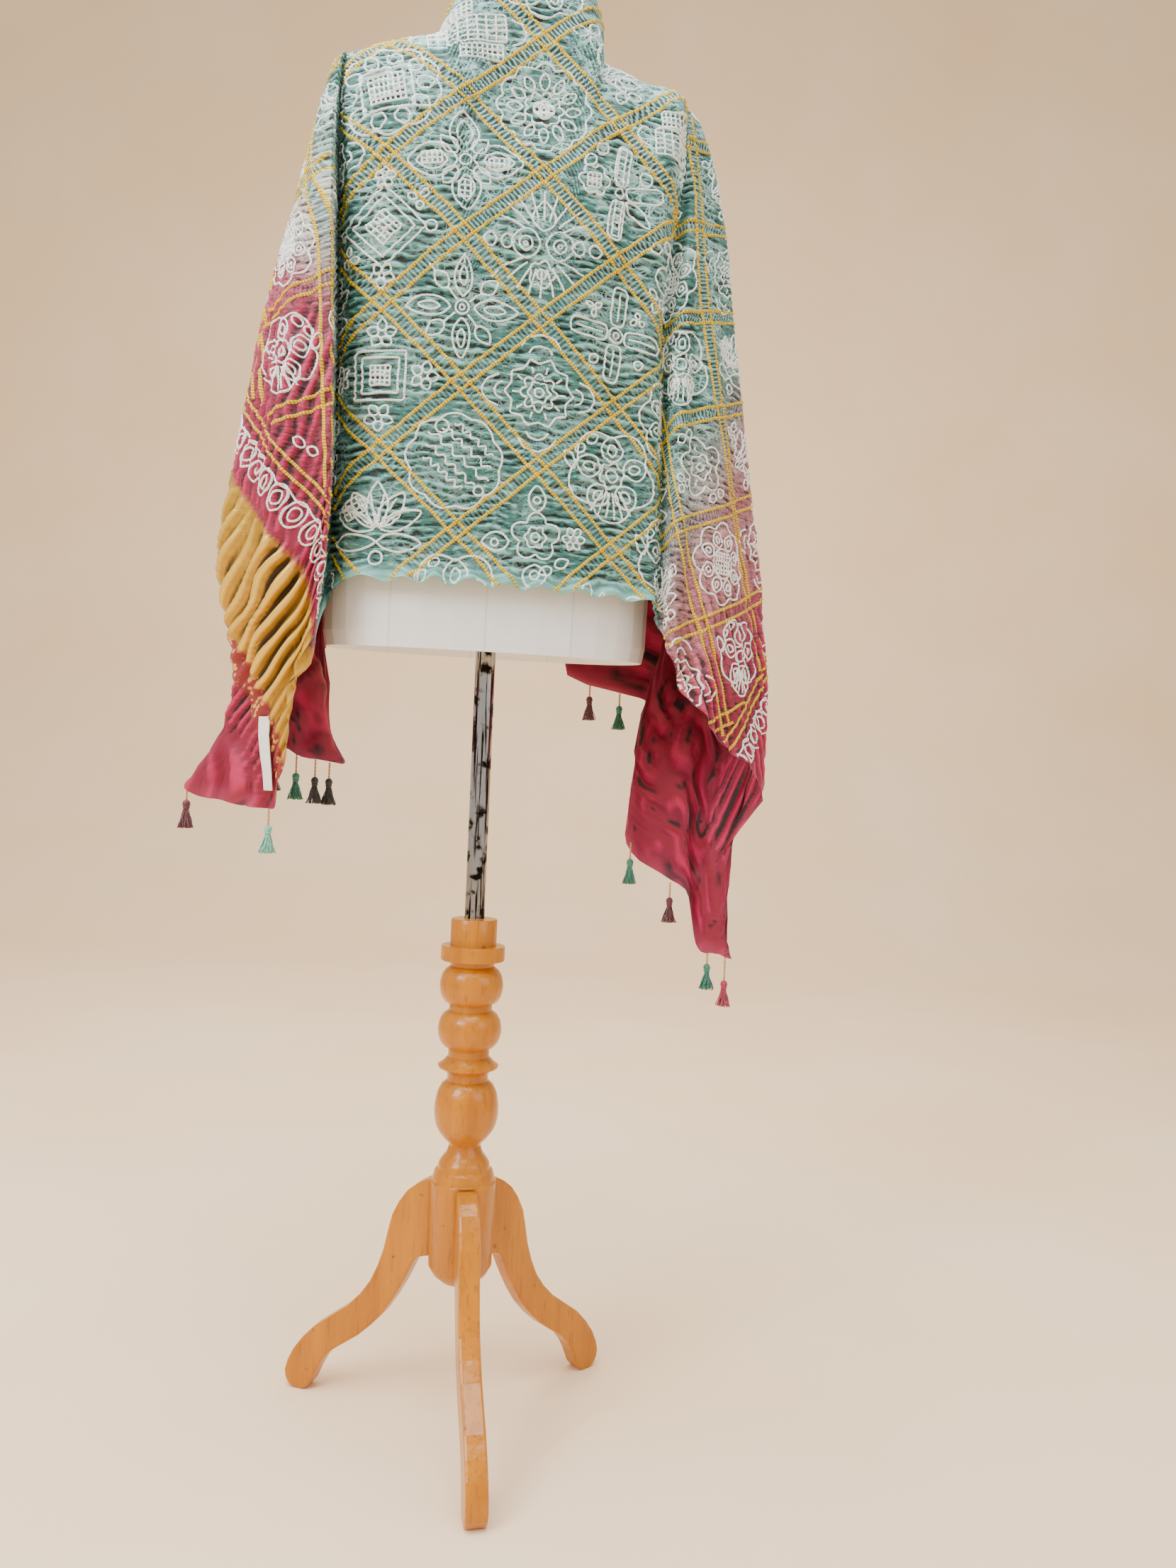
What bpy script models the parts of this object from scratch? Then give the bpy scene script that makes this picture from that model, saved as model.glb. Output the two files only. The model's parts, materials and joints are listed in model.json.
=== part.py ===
# Bandhani dupatta draped over an armless dress form on a turned tripod stand.
# Metres, +Z up.  The stand's axis is the Z axis, the floor is z = 0 and the
# viewer stands on the -Y side.  The form and the cloth are turned together by
# FORM_YAW about the stand's axis, so their tables are in the form's own frame.

import math

import bmesh
import bpy
import numpy as np
from mathutils import Vector
from mathutils.bvhtree import BVHTree

GAP = 0.0003              # between pieces that touch

# Stand
POLE_R = 0.0112
POLE_FOOT_Z = 0.5300      # bottom of the bore in the column
COLUMN_STEPS = 20
COLUMN_TOP_Z = 0.5636
BORE_R = POLE_R + GAP
HUB_FOOT_Z = 0.1545
HUB_FLAT = 0.0335         # distance of each leg's flat from the axis
FLAT_CUT = (0.0200, 0.0600, 0.1300)      # depth, width and height of its cutter
FLAT_MID_Z = 0.2045
MOUTH_R = 0.0246          # inner edge of the bevel at the top of the bore
LEG_THICK = 0.0230
LEG_ROUND = 0.0035        # radius of its edges
LEG_ANGLES = (-77.5, 42.5, 162.5)

# Dress form
FORM_YAW = math.radians(10.0)
RIM_Z = 0.8530
RIM_WALL = 0.0050
RECESS = 0.0280           # hollow under the form
RECESS_TAPER = (0.965, 0.95)   # it narrows upward, in width and in depth
TILT_FADE = 0.15          # height over which the underside's tilt fades
UNDER_TILT = 0.065        # the underside rises a little toward the back
FORM_SIDES = 32
SEAT_Z = 1.5197           # top of the shoulders, where the cloth rests

# Cloth
CLOTH_THICK = 0.0020
ROWS = 20                 # grid rows from the shoulder to the lower edge
NECK_COLS = 8             # grid columns across the neck
SLEEVE_STEP = 0.060       # widest grid column round a sleeve, in places
CAP = 0.180               # height over which the cloth rolls over the shoulder
EDGE_REACH = 0.22         # how far across the chest its side edges pull it

# Tassels and label
STRANDS = 8               # per tassel, three-sided
CORD_R = 0.0008
CORD_TIP_R = 0.0003       # where the stitch leaves the cloth's edge
CORD_DROP = 0.0007        # from the cloth's edge to the cord's end
SKIRT_LEN = 0.0220
SKIRT_FLARE = 0.0026
LABEL_THICK = 0.0010
LABEL_SEAT = 0.0019       # its stitched top, off the cloth's middle
LABEL_OFF = 0.0048        # the rest of it

# The origin is the middle of the footprint's box; the axis stands off it
AXIS_AT = (-0.0120, 0.0270)


# Helpers

def reset_scene():
    for ob in list(bpy.data.objects):
        bpy.data.objects.remove(ob, do_unlink=True)


def collection(name):
    coll = bpy.data.collections.new(name)
    bpy.context.scene.collection.children.link(coll)
    return coll


def material(name, colour, roughness, metallic=0.0):
    mat = bpy.data.materials.new(name)
    mat.use_nodes = True
    bsdf = mat.node_tree.nodes["Principled BSDF"]
    bsdf.inputs["Base Color"].default_value = (*colour, 1.0)
    bsdf.inputs["Roughness"].default_value = roughness
    bsdf.inputs["Metallic"].default_value = metallic
    return mat


def put(coll, name, mesh, mat):
    mesh.name = name
    ob = bpy.data.objects.new(name, mesh)
    mesh.materials.append(mat)
    coll.objects.link(ob)
    return ob


def hermite(xs, ys, x):
    """Smooth curve through the rows ys (n, k) at xs (n,), read at x (m,)."""
    xs, ys, x = np.asarray(xs, float), np.asarray(ys, float), np.asarray(x, float)
    step = np.diff(ys, axis=0) / np.diff(xs)[:, None]
    both = step[1:] + step[:-1]
    both[both == 0] = 1.0
    inner = np.where(step[1:] * step[:-1] > 0, 2 * step[1:] * step[:-1] / both, 0.0)
    slope = np.vstack([step[:1], inner, step[-1:]])      # no overshoot
    i = np.clip(np.searchsorted(xs, x, side="right") - 1, 0, len(xs) - 2)
    h = (xs[i + 1] - xs[i])[:, None]
    u = ((x - xs[i]) / (xs[i + 1] - xs[i]))[:, None]
    return ((2 * u ** 3 - 3 * u ** 2 + 1) * ys[i] + (u ** 3 - 2 * u ** 2 + u) * h * slope[i]
            + (3 * u ** 2 - 2 * u ** 3) * ys[i + 1] + (u ** 3 - u ** 2) * h * slope[i + 1])


def yawed(points):
    c, s = math.cos(FORM_YAW), math.sin(FORM_YAW)
    p = np.asarray(points, float)
    return np.stack([p[..., 0] * c - p[..., 1] * s, p[..., 0] * s + p[..., 1] * c, p[..., 2]], -1)


def turned(name, profile, steps):
    """A closed turned piece: profile rows (radius, z) from the axis, top first."""
    mesh = bpy.data.meshes.new(name)
    mesh.from_pydata([(r, 0.0, z) for r, z in profile],
                     [(i, i + 1) for i in range(len(profile) - 1)], [])
    ob = bpy.data.objects.new(name, mesh)
    screw = ob.modifiers.new("turn", "SCREW")
    screw.steps = screw.render_steps = steps
    screw.use_merge_vertices = True
    screw.merge_threshold = 0.00005
    screw.use_smooth_shade = True
    return ob


# Stand

# z, radius down the turned column; a bead is given by its edges and its middle
COLUMN = (
    ("top cylinder", 0.5630, 0.0253), ("top cylinder", 0.5618, 0.0260),
    ("top cylinder", 0.5330, 0.0260), ("disc", 0.5330, 0.0352),
    ("disc", 0.5322, 0.0360), ("disc", 0.5172, 0.0360), ("disc", 0.5164, 0.0352),
    ("neck", 0.5150, 0.0256), ("neck", 0.5100, 0.0244),
    ("bead 1", 0.5056, 0.0300), ("bead 1", 0.4990, 0.0338), ("bead 1", 0.4880, 0.0357),
    ("bead 1", 0.4770, 0.0338), ("bead 1", 0.4700, 0.0295),
    ("ring", 0.4670, 0.0240), ("ring", 0.4604, 0.0240),
    ("bead 2", 0.4560, 0.0300), ("bead 2", 0.4490, 0.0340), ("bead 2", 0.4380, 0.0357),
    ("bead 2", 0.4270, 0.0334), ("bead 2", 0.4200, 0.0285),
    ("neck", 0.4165, 0.0230), ("neck", 0.4085, 0.0230),
    ("flange", 0.4010, 0.0300), ("flange", 0.3985, 0.0340), ("flange", 0.3962, 0.0335),
    ("flange", 0.3915, 0.0250), ("neck", 0.3875, 0.0228), ("neck", 0.3815, 0.0232),
    ("ball", 0.3765, 0.0290), ("ball", 0.3660, 0.0338), ("ball", 0.3480, 0.0362),
    ("ball", 0.3320, 0.0338), ("ball", 0.3200, 0.0270), ("ball", 0.3120, 0.0195),
    ("neck", 0.3085, 0.0176), ("trumpet", 0.3000, 0.0205), ("trumpet", 0.2880, 0.0285),
    ("trumpet", 0.2825, 0.0292), ("cap", 0.2800, 0.0325), ("cap", 0.2740, 0.0344),
    ("cap", 0.2700, 0.0352), ("hub", 0.2683, 0.0370), ("hub", 0.1740, 0.0356),
    ("hub foot", 0.1640, 0.0300), ("hub foot", 0.1555, 0.0200),
)

# distance from the axis, z round the side of one leg
LEG = (
    ("top", 0.0338, 0.2672), ("top", 0.0430, 0.2645), ("top", 0.0640, 0.2500),
    ("shoulder", 0.0820, 0.2200), ("shoulder", 0.0912, 0.1790), ("knee", 0.1070, 0.1390),
    ("knee", 0.1350, 0.1060), ("shin", 0.1755, 0.0760), ("ankle", 0.2020, 0.0450),
    ("toe", 0.2120, 0.0190), ("toe", 0.2075, 0.0055), ("sole", 0.2010, 0.0), ("sole", 0.1860, 0.0),
    ("heel", 0.1785, 0.0080), ("heel", 0.1700, 0.0270), ("ankle", 0.1540, 0.0500),
    ("shin", 0.1200, 0.0740), ("knee", 0.0890, 0.1050), ("calf", 0.0670, 0.1410),
    ("calf", 0.0560, 0.1640), ("bottom", 0.0480, 0.1760), ("bottom", 0.0338, 0.1800),
)


def build_column(coll, mat):
    profile = [(0.0, POLE_FOOT_Z), (BORE_R, POLE_FOOT_Z), (BORE_R, COLUMN_TOP_Z), (MOUTH_R, COLUMN_TOP_Z)]
    profile += [(r, z) for _, z, r in COLUMN]
    profile += [(0.0, HUB_FOOT_Z)]
    ob = turned("column", profile, COLUMN_STEPS)
    ob.data.materials.append(mat)
    coll.objects.link(ob)
    # a flat is planed on the hub for each leg
    for k, angle in enumerate(LEG_ANGLES):
        bpy.ops.mesh.primitive_cube_add(size=1.0)
        cutter = bpy.context.object
        cutter.name = "flat_cutter_%d" % k
        cutter.scale = FLAT_CUT
        a = math.radians(angle)
        reach = HUB_FLAT + FLAT_CUT[0] / 2
        cutter.location = (reach * math.cos(a), reach * math.sin(a), FLAT_MID_Z)
        cutter.rotation_euler = (0.0, 0.0, a)
        cutter.hide_render = True
        cutter.display_type = "WIRE"
        for c in list(cutter.users_collection):
            c.objects.unlink(cutter)
        CUTTERS.objects.link(cutter)
        cut = ob.modifiers.new("flat %d" % k, "BOOLEAN")
        cut.operation = "DIFFERENCE"
        cut.object = cutter
        cut.solver = "EXACT"
    return ob


def smooth_outline(rows, corners, per):
    """Closed outline through the rows, sharp at the named corner rows."""
    out = []
    n = len(rows)
    pts = [Vector((r, z)) for _, r, z in rows]
    for i in range(n):
        a, b = pts[i], pts[(i + 1) % n]
        out.append(a)
        if i in corners and (i + 1) % n in corners:
            continue
        ta = (b - a) * 0.6 if i in corners else (b - pts[i - 1]) * 0.5
        tb = (b - a) * 0.6 if (i + 1) % n in corners else (pts[(i + 2) % n] - a) * 0.5
        for k in range(1, per):
            u = k / per
            out.append(a * (2 * u ** 3 - 3 * u ** 2 + 1) + ta * (u ** 3 - 2 * u ** 2 + u)
                       + b * (3 * u ** 2 - 2 * u ** 3) + tb * (u ** 3 - u ** 2))
    return out


def build_legs(coll, mat):
    corners = {0, 11, 12, len(LEG) - 1}
    outline = smooth_outline(LEG, corners, 2)
    for k, (name, angle) in enumerate(zip(("leg_front", "leg_right", "leg_left"), LEG_ANGLES)):
        bm = bmesh.new()
        loop = [bm.verts.new((p.x, 0.0, p.y)) for p in outline]
        bm.faces.new(loop)
        mesh = bpy.data.meshes.new(name)
        bm.to_mesh(mesh)
        bm.free()
        ob = put(coll, name, mesh, mat)
        solid = ob.modifiers.new("board", "SOLIDIFY")
        solid.thickness = LEG_THICK
        solid.offset = 0.0
        bevel = ob.modifiers.new("round", "BEVEL")
        bevel.width = LEG_ROUND
        bevel.segments = 2
        bevel.limit_method = "ANGLE"
        bevel.angle_limit = math.radians(60.0)
        ob.rotation_euler = (0.0, 0.0, math.radians(angle))


def build_pole(coll, mat, top):
    bottom = POLE_FOOT_Z + GAP
    bpy.ops.mesh.primitive_cylinder_add(vertices=24, radius=POLE_R, depth=top - bottom,
                                        location=(0.0, 0.0, 0.5 * (top + bottom)))
    ob = bpy.context.object
    ob.name = "pole"
    for c in list(ob.users_collection):
        c.objects.unlink(ob)
    coll.objects.link(ob)
    ob.data.materials.append(mat)
    ob.data.shade_smooth()
    ob.data.set_sharp_from_angle(angle=math.radians(40.0))


# Dress form

# z, half width, half depth of each level section
FORM = (
    ("hip rim", 0.8530, 0.1770, 0.1040),
    ("hip", 0.8700, 0.1800, 0.1060),
    ("hip", 0.9300, 0.1815, 0.1080),
    ("hip", 1.0000, 0.1740, 0.1020),
    ("waist", 1.0800, 0.1560, 0.0900),
    ("waist", 1.1600, 0.1480, 0.0860),
    ("ribs", 1.2400, 0.1560, 0.0940),
    ("bust", 1.3200, 0.1680, 0.1020),
    ("chest", 1.3900, 0.1700, 0.0920),
    ("shoulder", 1.4400, 0.1700, 0.0760),
    ("shoulder", 1.4750, 0.1660, 0.0660),
    ("shoulder", 1.4980, 0.1560, 0.0480),
    ("shoulder", 1.5110, 0.1420, 0.0350),
    ("shoulder seat", SEAT_Z, 0.1270, 0.0240),
    ("neck root", 1.5250, 0.0900, 0.0290),
    ("neck root", 1.5320, 0.0700, 0.0390),
    ("neck", 1.5460, 0.0560, 0.0480),
    ("neck", 1.5960, 0.0520, 0.0460),
    ("neck top", 1.6000, 0.0480, 0.0420),
)
SECTION_POWER = 2.35       # between an ellipse and a rounded box


def section(half_w, half_d, z, tilt):
    pts = []
    for k in range(FORM_SIDES):
        a = 2 * math.pi * k / FORM_SIDES
        c, s = math.cos(a), math.sin(a)
        e = 2.0 / SECTION_POWER
        x = half_w * math.copysign(abs(c) ** e, c)
        y = half_d * math.copysign(abs(s) ** e, s)
        pts.append((x, y, z + tilt * (y + FORM[0][3])))
    return pts


def build_form(coll, mat):
    rings = []
    w0, d0 = FORM[0][2] - RIM_WALL, FORM[0][3] - RIM_WALL
    rings.append(section(w0 * RECESS_TAPER[0], d0 * RECESS_TAPER[1], RIM_Z + RECESS, 0.0))
    rings.append(section(w0, d0, RIM_Z, UNDER_TILT))
    for _, z, w, d in FORM:
        rings.append(section(w, d, z, UNDER_TILT * max(0.0, 1.0 - (z - RIM_Z) / TILT_FADE)))
    bm = bmesh.new()
    rows = []
    for ring in rings:
        rows.append([bm.verts.new(p) for p in yawed(ring)])
    n = FORM_SIDES
    for a, b in zip(rows, rows[1:]):
        for k in range(n):
            bm.faces.new((a[k], a[(k + 1) % n], b[(k + 1) % n], b[k]))
    bm.faces.new(list(reversed(rows[0])))
    bm.faces.new(rows[-1])
    bmesh.ops.recalc_face_normals(bm, faces=bm.faces)
    mesh = bpy.data.meshes.new("form")
    bm.to_mesh(mesh)
    bm.free()
    ob = put(coll, "form", mesh, mat)
    mesh.shade_smooth()
    mesh.set_sharp_from_angle(angle=math.radians(45.0))
    return ob


# Cloth

# Each side of the cloth hangs from its shoulder point.  A row is one line of
# the drape, from the shoulder point down to the cloth's lower edge: its place
# round the sleeve (0 at the chest, 1 at the shoulder ridge again), the height
# of its lower end, and x, y at these parts of its drop.
STATIONS = (0.16, 0.34, 0.52, 0.70, 0.86, 1.00)
TIP = {"left": (-0.1800, 0.0, 1.508), "right": (0.2050, 0.0, 1.503)}
NECK_CORNER = {"left": (-0.0840, 0.0, 1.5350), "right": (0.1020, -0.004, 1.528)}

LEFT = (
    # name, place, end z, then x, y at the six stations
    ("chest edge", 0.00, 0.922, -.176, -.066, -.168, -.084, -.163, -.086, -.160, -.086, -.158, -.088, -.157, -.090),
    ("valley", 0.07, 0.900, -.183, -.050, -.178, -.058, -.175, -.062, -.174, -.062, -.173, -.066, -.172, -.070),
    ("fold edge", 0.15, 0.815, -.188, -.084, -.184, -.116, -.179, -.126, -.174, -.128, -.180, -.112, -.198, -.082),
    ("sleeve front", 0.29, 0.680, -.201, -.076, -.216, -.104, -.226, -.114, -.228, -.102, -.236, -.066, -.226, -.046),
    ("outer", 0.43, 0.697, -.214, -.034, -.246, -.036, -.270, -.040, -.287, -.038, -.270, -.030, -.313, -.018),
    ("back outer", 0.53, 0.765, -.210, .010, -.240, .018, -.260, .022, -.268, .022, -.256, .018, -.250, .014),
    ("tail 2 outer", 0.61, 0.742, -.200, .040, -.222, .058, -.236, .064, -.238, .060, -.226, .044, -.213, .032),
    ("tail 2 inner", 0.70, 0.728, -.190, .054, -.202, .084, -.207, .097, -.203, .092, -.190, .064, -.164, .044),
    ("tail 2 inside", 0.755, 0.862, -.184, .060, -.192, .092, -.194, .106, -.192, .108, -.189, .098, -.186, .086),
    ("back", 0.83, 0.890, -.176, .064, -.170, .100, -.158, .118, -.146, .124, -.136, .126, -.127, .128),
    ("back selvedge", 0.90, 1.210, -.168, .048, -.146, .080, -.122, .102, -.100, .112, -.084, .117, -.072, .119),
    ("yoke", 0.945, 1.420, -.164, .032, -.143, .056, -.122, .075, -.102, .087, -.086, .094, -.074, .097),
    ("yoke top", 0.975, 1.506, -.167, .020, -.147, .038, -.127, .053, -.107, .065, -.090, .071, -.076, .074),
)
RIGHT = (
    ("chest edge", 0.00, 0.918, .186, -.068, .172, -.086, .164, -.090, .166, -.091, .168, -.092, .167, -.093),
    ("valley", 0.06, 0.895, .194, -.054, .182, -.064, .175, -.070, .177, -.074, .179, -.078, .178, -.082),
    ("fold edge", 0.13, 0.855, .201, -.056, .194, -.082, .189, -.096, .190, -.104, .191, -.108, .190, -.106),
    ("sleeve front", 0.28, 0.775, .222, -.036, .232, -.056, .240, -.070, .248, -.078, .252, -.082, .254, -.080),
    ("outer", 0.41, 0.712, .253, -.004, .275, -.006, .296, -.008, .317, -.010, .327, -.014, .330, -.018),
    ("pinch", 0.440, 0.636, .253, .012, .278, .020, .304, .024, .325, .020, .322, .004, .289, .006),
    ("tail outer", 0.475, 0.524, .251, .028, .280, .036, .308, .042, .326, .038, .286, .016, .307, .006),
    ("tail inner", 0.540, 0.530, .242, .046, .270, .058, .298, .064, .304, .058, .268, .034, .269, .022),
    ("lens foot", 0.610, 0.592, .232, .056, .260, .072, .284, .082, .288, .074, .252, .046, .256, .034),
    ("lens edge", 0.70, 0.662, .222, .062, .244, .082, .256, .090, .246, .080, .192, .056, .178, .044),
    ("back fold", 0.77, 0.815, .212, .068, .230, .094, .238, .108, .240, .114, .236, .112, .231, .108),
    ("back", 0.86, 0.858, .192, .070, .176, .100, .156, .117, .136, .124, .123, .127, .113, .130),
    ("back selvedge", 0.92, 1.200, .186, .048, .164, .080, .138, .102, .114, .113, .096, .118, .080, .120),
    ("yoke", 0.952, 1.460, .188, .030, .167, .054, .148, .072, .128, .084, .112, .090, .098, .091),
    ("collar back", 0.978, 1.585, .189, .014, .170, .028, .150, .041, .128, .052, .110, .060, .093, .056),
)

# the free edge round the front of the neck, between the shoulder corners
NECK = (
    ("left corner", -0.0840, 0.000, 1.535), ("left rise", -0.0660, -0.022, 1.576),
    ("left", -0.0460, -0.042, 1.603), ("front left", -0.0160, -0.062, 1.612),
    ("front", 0.0200, -0.069, 1.613), ("front right", 0.0540, -0.063, 1.610),
    ("right", 0.0840, -0.044, 1.586), ("right dip", 0.1000, -0.022, 1.551),
    ("right corner", 0.1020, -0.004, 1.528),
)

# side, place on the lower edge, length of the cord, thread colour
TASSELS = (
    ("left", 0.292, 0.016, "mint"), ("left", 0.430, 0.010, "maroon"),
    ("left", 0.545, 0.012, "green"), ("left", 0.575, 0.024, "black"),
    ("left", 0.620, 0.020, "green"), ("left", 0.650, 0.018, "black"), ("left", 0.680, 0.016, "black"),
    ("right", 0.490, 0.026, "crimson"), ("right", 0.525, 0.012, "green"),
    ("right", 0.632, 0.016, "maroon"), ("right", 0.690, 0.018, "green"),
    ("right", 0.815, 0.014, "green"), ("right", 0.840, 0.016, "maroon"),
)
THREADS = {"mint": (0.25, 0.55, 0.42), "green": (0.06, 0.25, 0.16), "maroon": (0.12, 0.01, 0.03),
           "black": (0.02, 0.02, 0.02), "crimson": (0.38, 0.02, 0.08)}

# place and drop on the left tail where the sewn label lies, its width
LABEL = (0.278, 0.886, 0.978, 0.0115)

# z, half width and half depth of the chest cloth, which hangs clear of the form
CHEST_POWER = 2.6
CHEST = (
    ("hem", 0.90, 0.196, 0.124), ("hip", 0.98, 0.194, 0.122), ("waist", 1.08, 0.192, 0.121),
    ("waist", 1.18, 0.192, 0.124), ("bust", 1.28, 0.196, 0.129), ("bust", 1.35, 0.200, 0.124),
    ("chest", 1.42, 0.210, 0.106), ("shoulder", 1.48, 0.224, 0.086), ("shoulder", 1.56, 0.240, 0.070),
)

# broad folds: part, place of the trough at the top and at the lower edge,
# drop at which it starts and ends, half width in places, height off the cloth
FOLDS = (
    ("left pleat a", "left", 0.26, 0.20, 0.30, 1.00, 0.030, -0.0085),
    ("left pleat b", "left", 0.34, 0.36, 0.35, 0.98, 0.030, -0.0090),
    ("left pleat c", "left", 0.49, 0.47, 0.30, 0.98, 0.035, -0.0075),
    ("left tail pocket", "left", 0.66, 0.67, 0.62, 1.00, 0.045, -0.0120),
    ("left back pleat", "left", 0.78, 0.78, 0.25, 1.00, 0.035, -0.0095),
    ("right pleat a", "right", 0.22, 0.18, 0.30, 1.00, 0.030, -0.0080),
    ("right pleat b", "right", 0.34, 0.36, 0.25, 1.00, 0.035, -0.0085),
    ("right pleat c", "right", 0.49, 0.48, 0.35, 1.00, 0.035, -0.0085),
    ("right lens pleat a", "right", 0.64, 0.61, 0.45, 0.95, 0.030, -0.0080),
    ("right lens pleat b", "right", 0.66, 0.655, 0.60, 0.99, 0.024, 0.0060),
    ("right back pleat", "right", 0.81, 0.82, 0.25, 1.00, 0.030, -0.0090),
    ("chest left fall", "chest", 0.20, 0.16, 0.25, 1.00, 0.050, -0.0030),
    ("chest mid fall", "chest", 0.52, 0.46, 0.20, 0.90, 0.060, -0.0022),
    ("chest right fall", "chest", 0.80, 0.86, 0.20, 1.00, 0.050, -0.0032),
)
RUFFLE = 0.0035             # waviness of the free lower edge


def drape_line(table, tip, corner, place, drop):
    """Points of one side of the cloth at arrays of place (0..1) and drop (0..1)."""
    w = np.sqrt(np.asarray(drop, float))
    at = np.sqrt(np.array((0.0,) + STATIONS))
    places = [row[1] for row in table] + [1.0]
    lines = []
    for row in table:
        xy = np.array([tip[:2]] + [row[3 + 2 * k:5 + 2 * k] for k in range(len(STATIONS))])
        flat = hermite(at, xy, w)
        z = tip[2] + (row[2] - tip[2]) * w ** 2
        lines.append(np.column_stack([flat, z]))
    ridge = np.outer(1 - w, tip) + np.outer(w, corner)
    ridge[:, 2] = tip[2] + (corner[2] - tip[2]) * w
    lines.append(ridge)
    stack = np.array(lines)                               # place, drop, xyz
    flat = stack.reshape(len(places), -1)
    return hermite(places, flat, place).reshape(len(place), len(drop), 3)


def chest_depth(x, z):
    rows = np.array([(r[1], r[2], r[3]) for r in CHEST])
    w = np.interp(z, rows[:, 0], rows[:, 1])
    d = np.interp(z, rows[:, 0], rows[:, 2])
    return -d * np.clip(1 - (np.abs(x) / w) ** CHEST_POWER, 0, 1) ** (1 / CHEST_POWER)


def chest_grid(left_edge, right_edge, left_ridge, right_ridge, neck_cols, drop):
    """Chest points; its sides and its shoulder edges are shared with the sleeves."""
    rows = len(drop) - 1
    edge = np.array([row[1:] for row in NECK])
    neck = hermite(np.arange(len(NECK)), edge, np.linspace(0, len(NECK) - 1, neck_cols + 1)[1:-1])
    top = np.vstack([left_ridge, neck, right_ridge[::-1]])
    n = len(top)
    s = np.linspace(0.0, 1.0, n)
    hem_x = left_edge[-1, 0] + (right_edge[-1, 0] - left_edge[-1, 0]) * s
    hem_z = left_edge[-1, 2] + (right_edge[-1, 2] - left_edge[-1, 2]) * s
    grid = np.zeros((n, rows + 1, 3))
    for i in range(n):
        x = top[i, 0] + (hem_x[i] - top[i, 0]) * drop ** 0.75
        z = top[i, 2] + (hem_z[i] - top[i, 2]) * drop
        low = top[i, 2] - CAP
        f = np.clip((z - low) / CAP, 0.0, 1.0)      # rolls back to the edge
        round_off = np.sqrt(1 - f ** 2)
        y = chest_depth(x, np.minimum(z, low)) * round_off + top[i, 1] * (1 - round_off)
        grid[i] = np.column_stack([x, y, z])
    near_l = np.clip(1 - s / EDGE_REACH, 0, 1) ** 2
    near_r = np.clip(1 - (1 - s) / EDGE_REACH, 0, 1) ** 2
    grid += near_l[:, None, None] * (left_edge - grid[0])[None]
    grid += near_r[:, None, None] * (right_edge - grid[-1])[None]
    grid[:, 0] = top
    return grid


def fold_height(part, place, drop):
    """Height of the broad folds off the smooth drape."""
    h = np.zeros(np.broadcast(place, drop).shape)
    for _, where, p0, p1, d0, d1, width, height in FOLDS:
        if where != part:
            continue
        mid = p0 + (p1 - p0) * drop
        along = np.clip((drop - d0) / 0.15, 0, 1) * np.clip((d1 + 0.08 - drop) / 0.08, 0, 1)
        h = h + height * along * np.exp(-((place - mid) / width) ** 2)
    return h


def sleeve_places(table):
    """Grid columns on every fold line, and between those that are far apart."""
    lines = [row[1] for row in table] + [1.0]
    out = [0.0]
    for a, b in zip(lines, lines[1:]):
        n = math.ceil((b - a) / SLEEVE_STEP - 0.001)
        out += [a + (b - a) * k / n for k in range(1, n + 1)]
    return np.array(out)


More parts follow.
